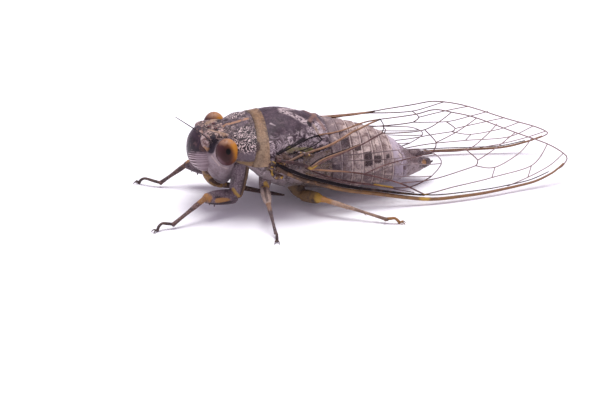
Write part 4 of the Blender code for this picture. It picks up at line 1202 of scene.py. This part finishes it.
def paintLegs(paints):
    p = speckledPaint("frontHip", (0.16, 0.115, 0.135), (0.07, 0.05, 0.055), 0.5, 1.2, 0.4)
    p.layer("olive", 0.7, p.stroke((4.3, 13.3, 7.2), (4.7, 12.2, 2.6), 0.5, 0.25))
    p.layer("umber", 0.8, p.stroke((4.65, 12.9, 6.8), (5, 11.9, 2.8), 0.13))
    p.layer("yellow", 0.7, p.stroke((4.8, 10.9, 3.7), (5, 11.6, 2.7), 0.28, 0.3, 0.1))
    p.layer("black", 0.7, p.stroke((4.6, 10.6, 3.4), (5, 11.9, 2.2), 0.14))
    paints["hipFront"] = p.done()
    p = speckledPaint("frontThigh", (0.15, 0.105, 0.125), (0.06, 0.04, 0.045), 0.42, 1.4, 0.25)
    p.layer("orange", 0.85, p.stroke((5.5, 6.9, 3.4), (5.6, 7.5, 3.2), 0.55, 0.25, 0.15))
    p.layer("orange", 0.8, p.stroke((5.9, 10.4, 2.7), (5.9, 8.6, 2.9), 0.36, 0.25, 0.1))
    p.layer("black", 0.7, p.stroke((5.9, 10.6, 3.2), (5.9, 8.3, 3.4), 0.12))
    p.layer("black", 0.8, p.stroke((5.6, 11, 2.2), (5.9, 7.4, 2.4), 0.26, 0.35, 0.1))
    p.layer("yellow", 0.6, p.stroke((4.8, 11.2, 3.3), (5, 11.9, 2.6), 0.3, 0.3, 0.15))
    p.layer("tan", 0.7, p.fade(p.up, 1.7, 1.2))
    paints["thighFront"] = p.done()
    p = speckledPaint("frontShin", (0.13, 0.07, 0.055), (0.04, 0.028, 0.03), 0.4, 2, 0.3)
    p.layer("orange", 0.6, p.stroke((5.5, 7.1, 3.2), (5.7, 6.4, 2.9), 0.5, 0.3, 0.2))
    paints["shinFront"] = p.done()
    p = speckledPaint("middleHip", (0.2, 0.15, 0.15), (0.1, 0.07, 0.07), 0.55, 1.3, 0.5)
    p.layer("yellow", 0.8, p.stroke((4.9, 15.3, 4.2), (5, 15.5, 3.7), 0.3, 0.3, 0.1))
    paints["hipMiddle"] = p.done()
    p = speckledPaint("middleThigh", (0.48, 0.36, 0.29), (0.26, 0.18, 0.15), 0.5, 1.4, 0.4)
    p.layer("yellow", 0.7, p.blob((4.9, 15.2, 3.6), (0.6, 0.5, 0.6), 0.3, 0.1))
    p.layer("umber", 0.7, p.stroke((5.6, 15, 3.9), (9.2, 14.6, 3.8), 0.2, 0.35, 0.1))
    paints["thighMiddle"] = p.done()
    p = speckledPaint("middleShin", (0.15, 0.1, 0.09), (0.05, 0.035, 0.035), 0.45, 1.6, 0.35)
    p.layer("tan", 0.7, p.blob((9.4, 14.7, 3.4), (1, 0.7, 0.8), 0.4, 0.1))
    paints["shinMiddle"] = p.done()
    p = speckledPaint("hindHip", (0.15, 0.1, 0.06), (0.035, 0.024, 0.02), 0.5, 1.2, 0.15)
    p.layer("olive", 0.6, p.patches(0.9, 0.4, 0.55))
    paints["hipHind"] = p.done()
    p = speckledPaint("hindThigh", (0.17, 0.1, 0.04), (0.035, 0.022, 0.018), 0.5, 1.2, 0.08)
    p.layer((0.24, 0.14, 0.045), 0.6, p.patches(0.8, 0.42, 0.58))
    p.layer("yellow", 0.8, p.blob((7.5, 22.3, 2.4), (1.1, 0.9, 0.8), 0.3, 0.1))
    paints["thighHind"] = p.done()
    p = speckledPaint("hindShin", (0.4, 0.26, 0.17), (0.17, 0.1, 0.07), 0.45, 1.2, 0.3)
    p.layer("orange", 0.85, p.blob((7.9, 22.7, 2.3), (0.9, 0.9, 0.8), 0.3, 0.1))
    p.layer("umber", 0.6, p.fade(p.back, 28.2, 30.4))
    paints["shinHind"] = p.done()
    p = speckledPaint("brownFoot", (0.1, 0.06, 0.045), (0.03, 0.02, 0.02), 0.4, 2.5, 0.2)
    p.layer("orange", 0.7, p.fade(p.back, 29.5, 30.5), p.patches(2, 0.35, 0.5))
    paints["foot"] = p.done()


def paintWings(paints):
    node = Vector((7.4, 36.5, 1.1))
    p = Paint("costaTan", (0.26, 0.14, 0.06), 0.42)
    p.layer((0.12, 0.07, 0.05), 0.6, p.patches(1, 0.45, 0.65, 3))
    p.layer((0.05, 0.03, 0.025), 0.85, p.fade(p.back, 24.5, 22), p.patches(1.2, 0.38, 0.5))
    p.layer("yellow", 0.9, p.blob(node, (0.9, 0.75, 0.7), 0.35))
    p.layer("yellow", 0.85, p.stroke((5.6, 29.8, 2.8), (5.8, 32.7, 2.2), 0.6))
    p.layer((0.28, 0.15, 0.085), 0.6, p.fade(p.back, 37.5, 46))
    p.relief(p.noise(5), 0.03)
    paints["costa"] = p.done()
    p = Paint("blackVein", (0.008, 0.004, 0.006), 0.6, Specular_IOR_Level=0.15)
    p.layer((0.12, 0.07, 0.045), 0.6, p.fade(p.back, 27.5, 30), p.patches(1, 0.4, 0.6))
    p.relief(p.noise(5), 0.03)
    paints["blackVein"] = p.done()
    p = Paint("brownVein", (0.095, 0.042, 0.04), 0.4)
    p.layer((0.22, 0.12, 0.1), 0.6, p.patches(0.7, 0.5, 0.62, 2))
    p.layer((0.03, 0.016, 0.018), 0.9, p.fade(p.back, 21.6, 20.2), p.patches(1.2, 0.34, 0.48))
    p.layer("yellow", 0.75, p.blob((7.3, 21.2, 6.7), (0.7, 0.9, 0.6), 0.4, 0.2))
    p.layer((0.36, 0.25, 0.24), 0.75, p.fade(p.back, 36, 50))
    p.layer("yellow", 0.8, p.blob(node, (0.7, 0.6, 0.5), 0.4))
    p.relief(p.noise(6), 0.02)
    paints["brownVein"] = p.done()
    p = Paint("paleVein", (0.26, 0.2, 0.2), 0.5)
    p.layer((0.36, 0.28, 0.28), 0.7, p.patches(0.8, 0.45, 0.6, 2))
    p.layer((0.1, 0.065, 0.06), 0.75, p.fade(p.back, 33.5, 31.5))
    p.relief(p.noise(6), 0.02)
    paints["paleVein"] = p.done()
    p = Paint("orangeVein", (0.3, 0.16, 0.09), 0.42)
    p.layer((0.12, 0.06, 0.035), 0.5, p.patches(0.9, 0.5, 0.62, 3))
    p.layer((0.09, 0.05, 0.035), 0.75, p.fade(p.back, 24, 20), p.patches(1.3, 0.36, 0.5))
    p.layer((0.07, 0.028, 0.025), 0.9, p.fade(p.back, 25.2, 26.6), p.fade(p.up, 7.2, 6.4))
    p.layer("black", 0.85, p.fade(p.back, 30.6, 31.6))
    p.relief(p.noise(5), 0.03)
    paints["orangeVein"] = p.done()
    p = Paint("wingHinge", (0.09, 0.05, 0.04), 0.4)
    p.layer("black", 0.8, p.patches(1.3, 0.45, 0.6))
    p.layer("yellow", 0.75, p.patches(1.7, 0.55, 0.64, 2))
    # painted glints: small pale specks of highlight on the dark knobs
    p.layer("pale", 0.7, p.patches(2.3, 0.58, 0.68, 2, 0.5, 0.6))
    p.relief(p.noise(3), 0.06)
    paints["hinge"] = p.done()
    p = Paint("clearMembrane", (0.42, 0.36, 0.44), 0.12)
    p.layer((0.22, 0.12, 0.07), 0.9, p.fade(p.back, 21.5, 17))
    p.relief(p.noise(0.5, 2), 0.25)
    p.relief(p.cells(1.1, "SMOOTH_F1"), 0.05)
    glance = p.add("LayerWeight", {"Blend": 0.35}).outputs["Facing"]
    grazing = p.times(p.fade(glance, 0.5, 1), 0.08)
    film = p.plus(grazing, p.times(p.fade(p.back, 21, 16.5), 0.14), 0.005)
    p.material.node_tree.links.new(film, p.shader.inputs["Alpha"])
    paints["membrane"] = p.done()


def mixPaints():
    paints = {
        "pronotum": paintPronotum(), "collar": paintCollar(), "mesonotum": paintMesonotum(),
        "thorax": paintThorax(), "abdomen": paintAbdomen(), "tail": paintTail(), "head": paintHead(),
        "face": paintFace(), "snout": paintSnout(), "eye": paintEye(),
        "beak": speckledPaint("brownBeak", (0.1, 0.055, 0.035), "umber").done(),
        "feeler": speckledPaint("darkFeeler", (0.06, 0.04, 0.045), "black").done(),
    }
    p = Paint("redBead", (0.07, 0.03, 0.035), 0.15)
    p.layer((0.16, 0.07, 0.06), 0.6, p.patches(4, 0.4, 0.6))
    paints["ocellus"] = p.done()
    paintLegs(paints)
    paintWings(paints)
    return paints


paints = mixPaints()
print("finishes mixed")
makeTorso(paints)
makeAbdomen(paints)
print("torso and abdomen made")
makeHead(paints)
makeFeelers(paints)
print("head made")
makeLegs(paints)
print("legs made")
makeWings(paints)
print("wings made")
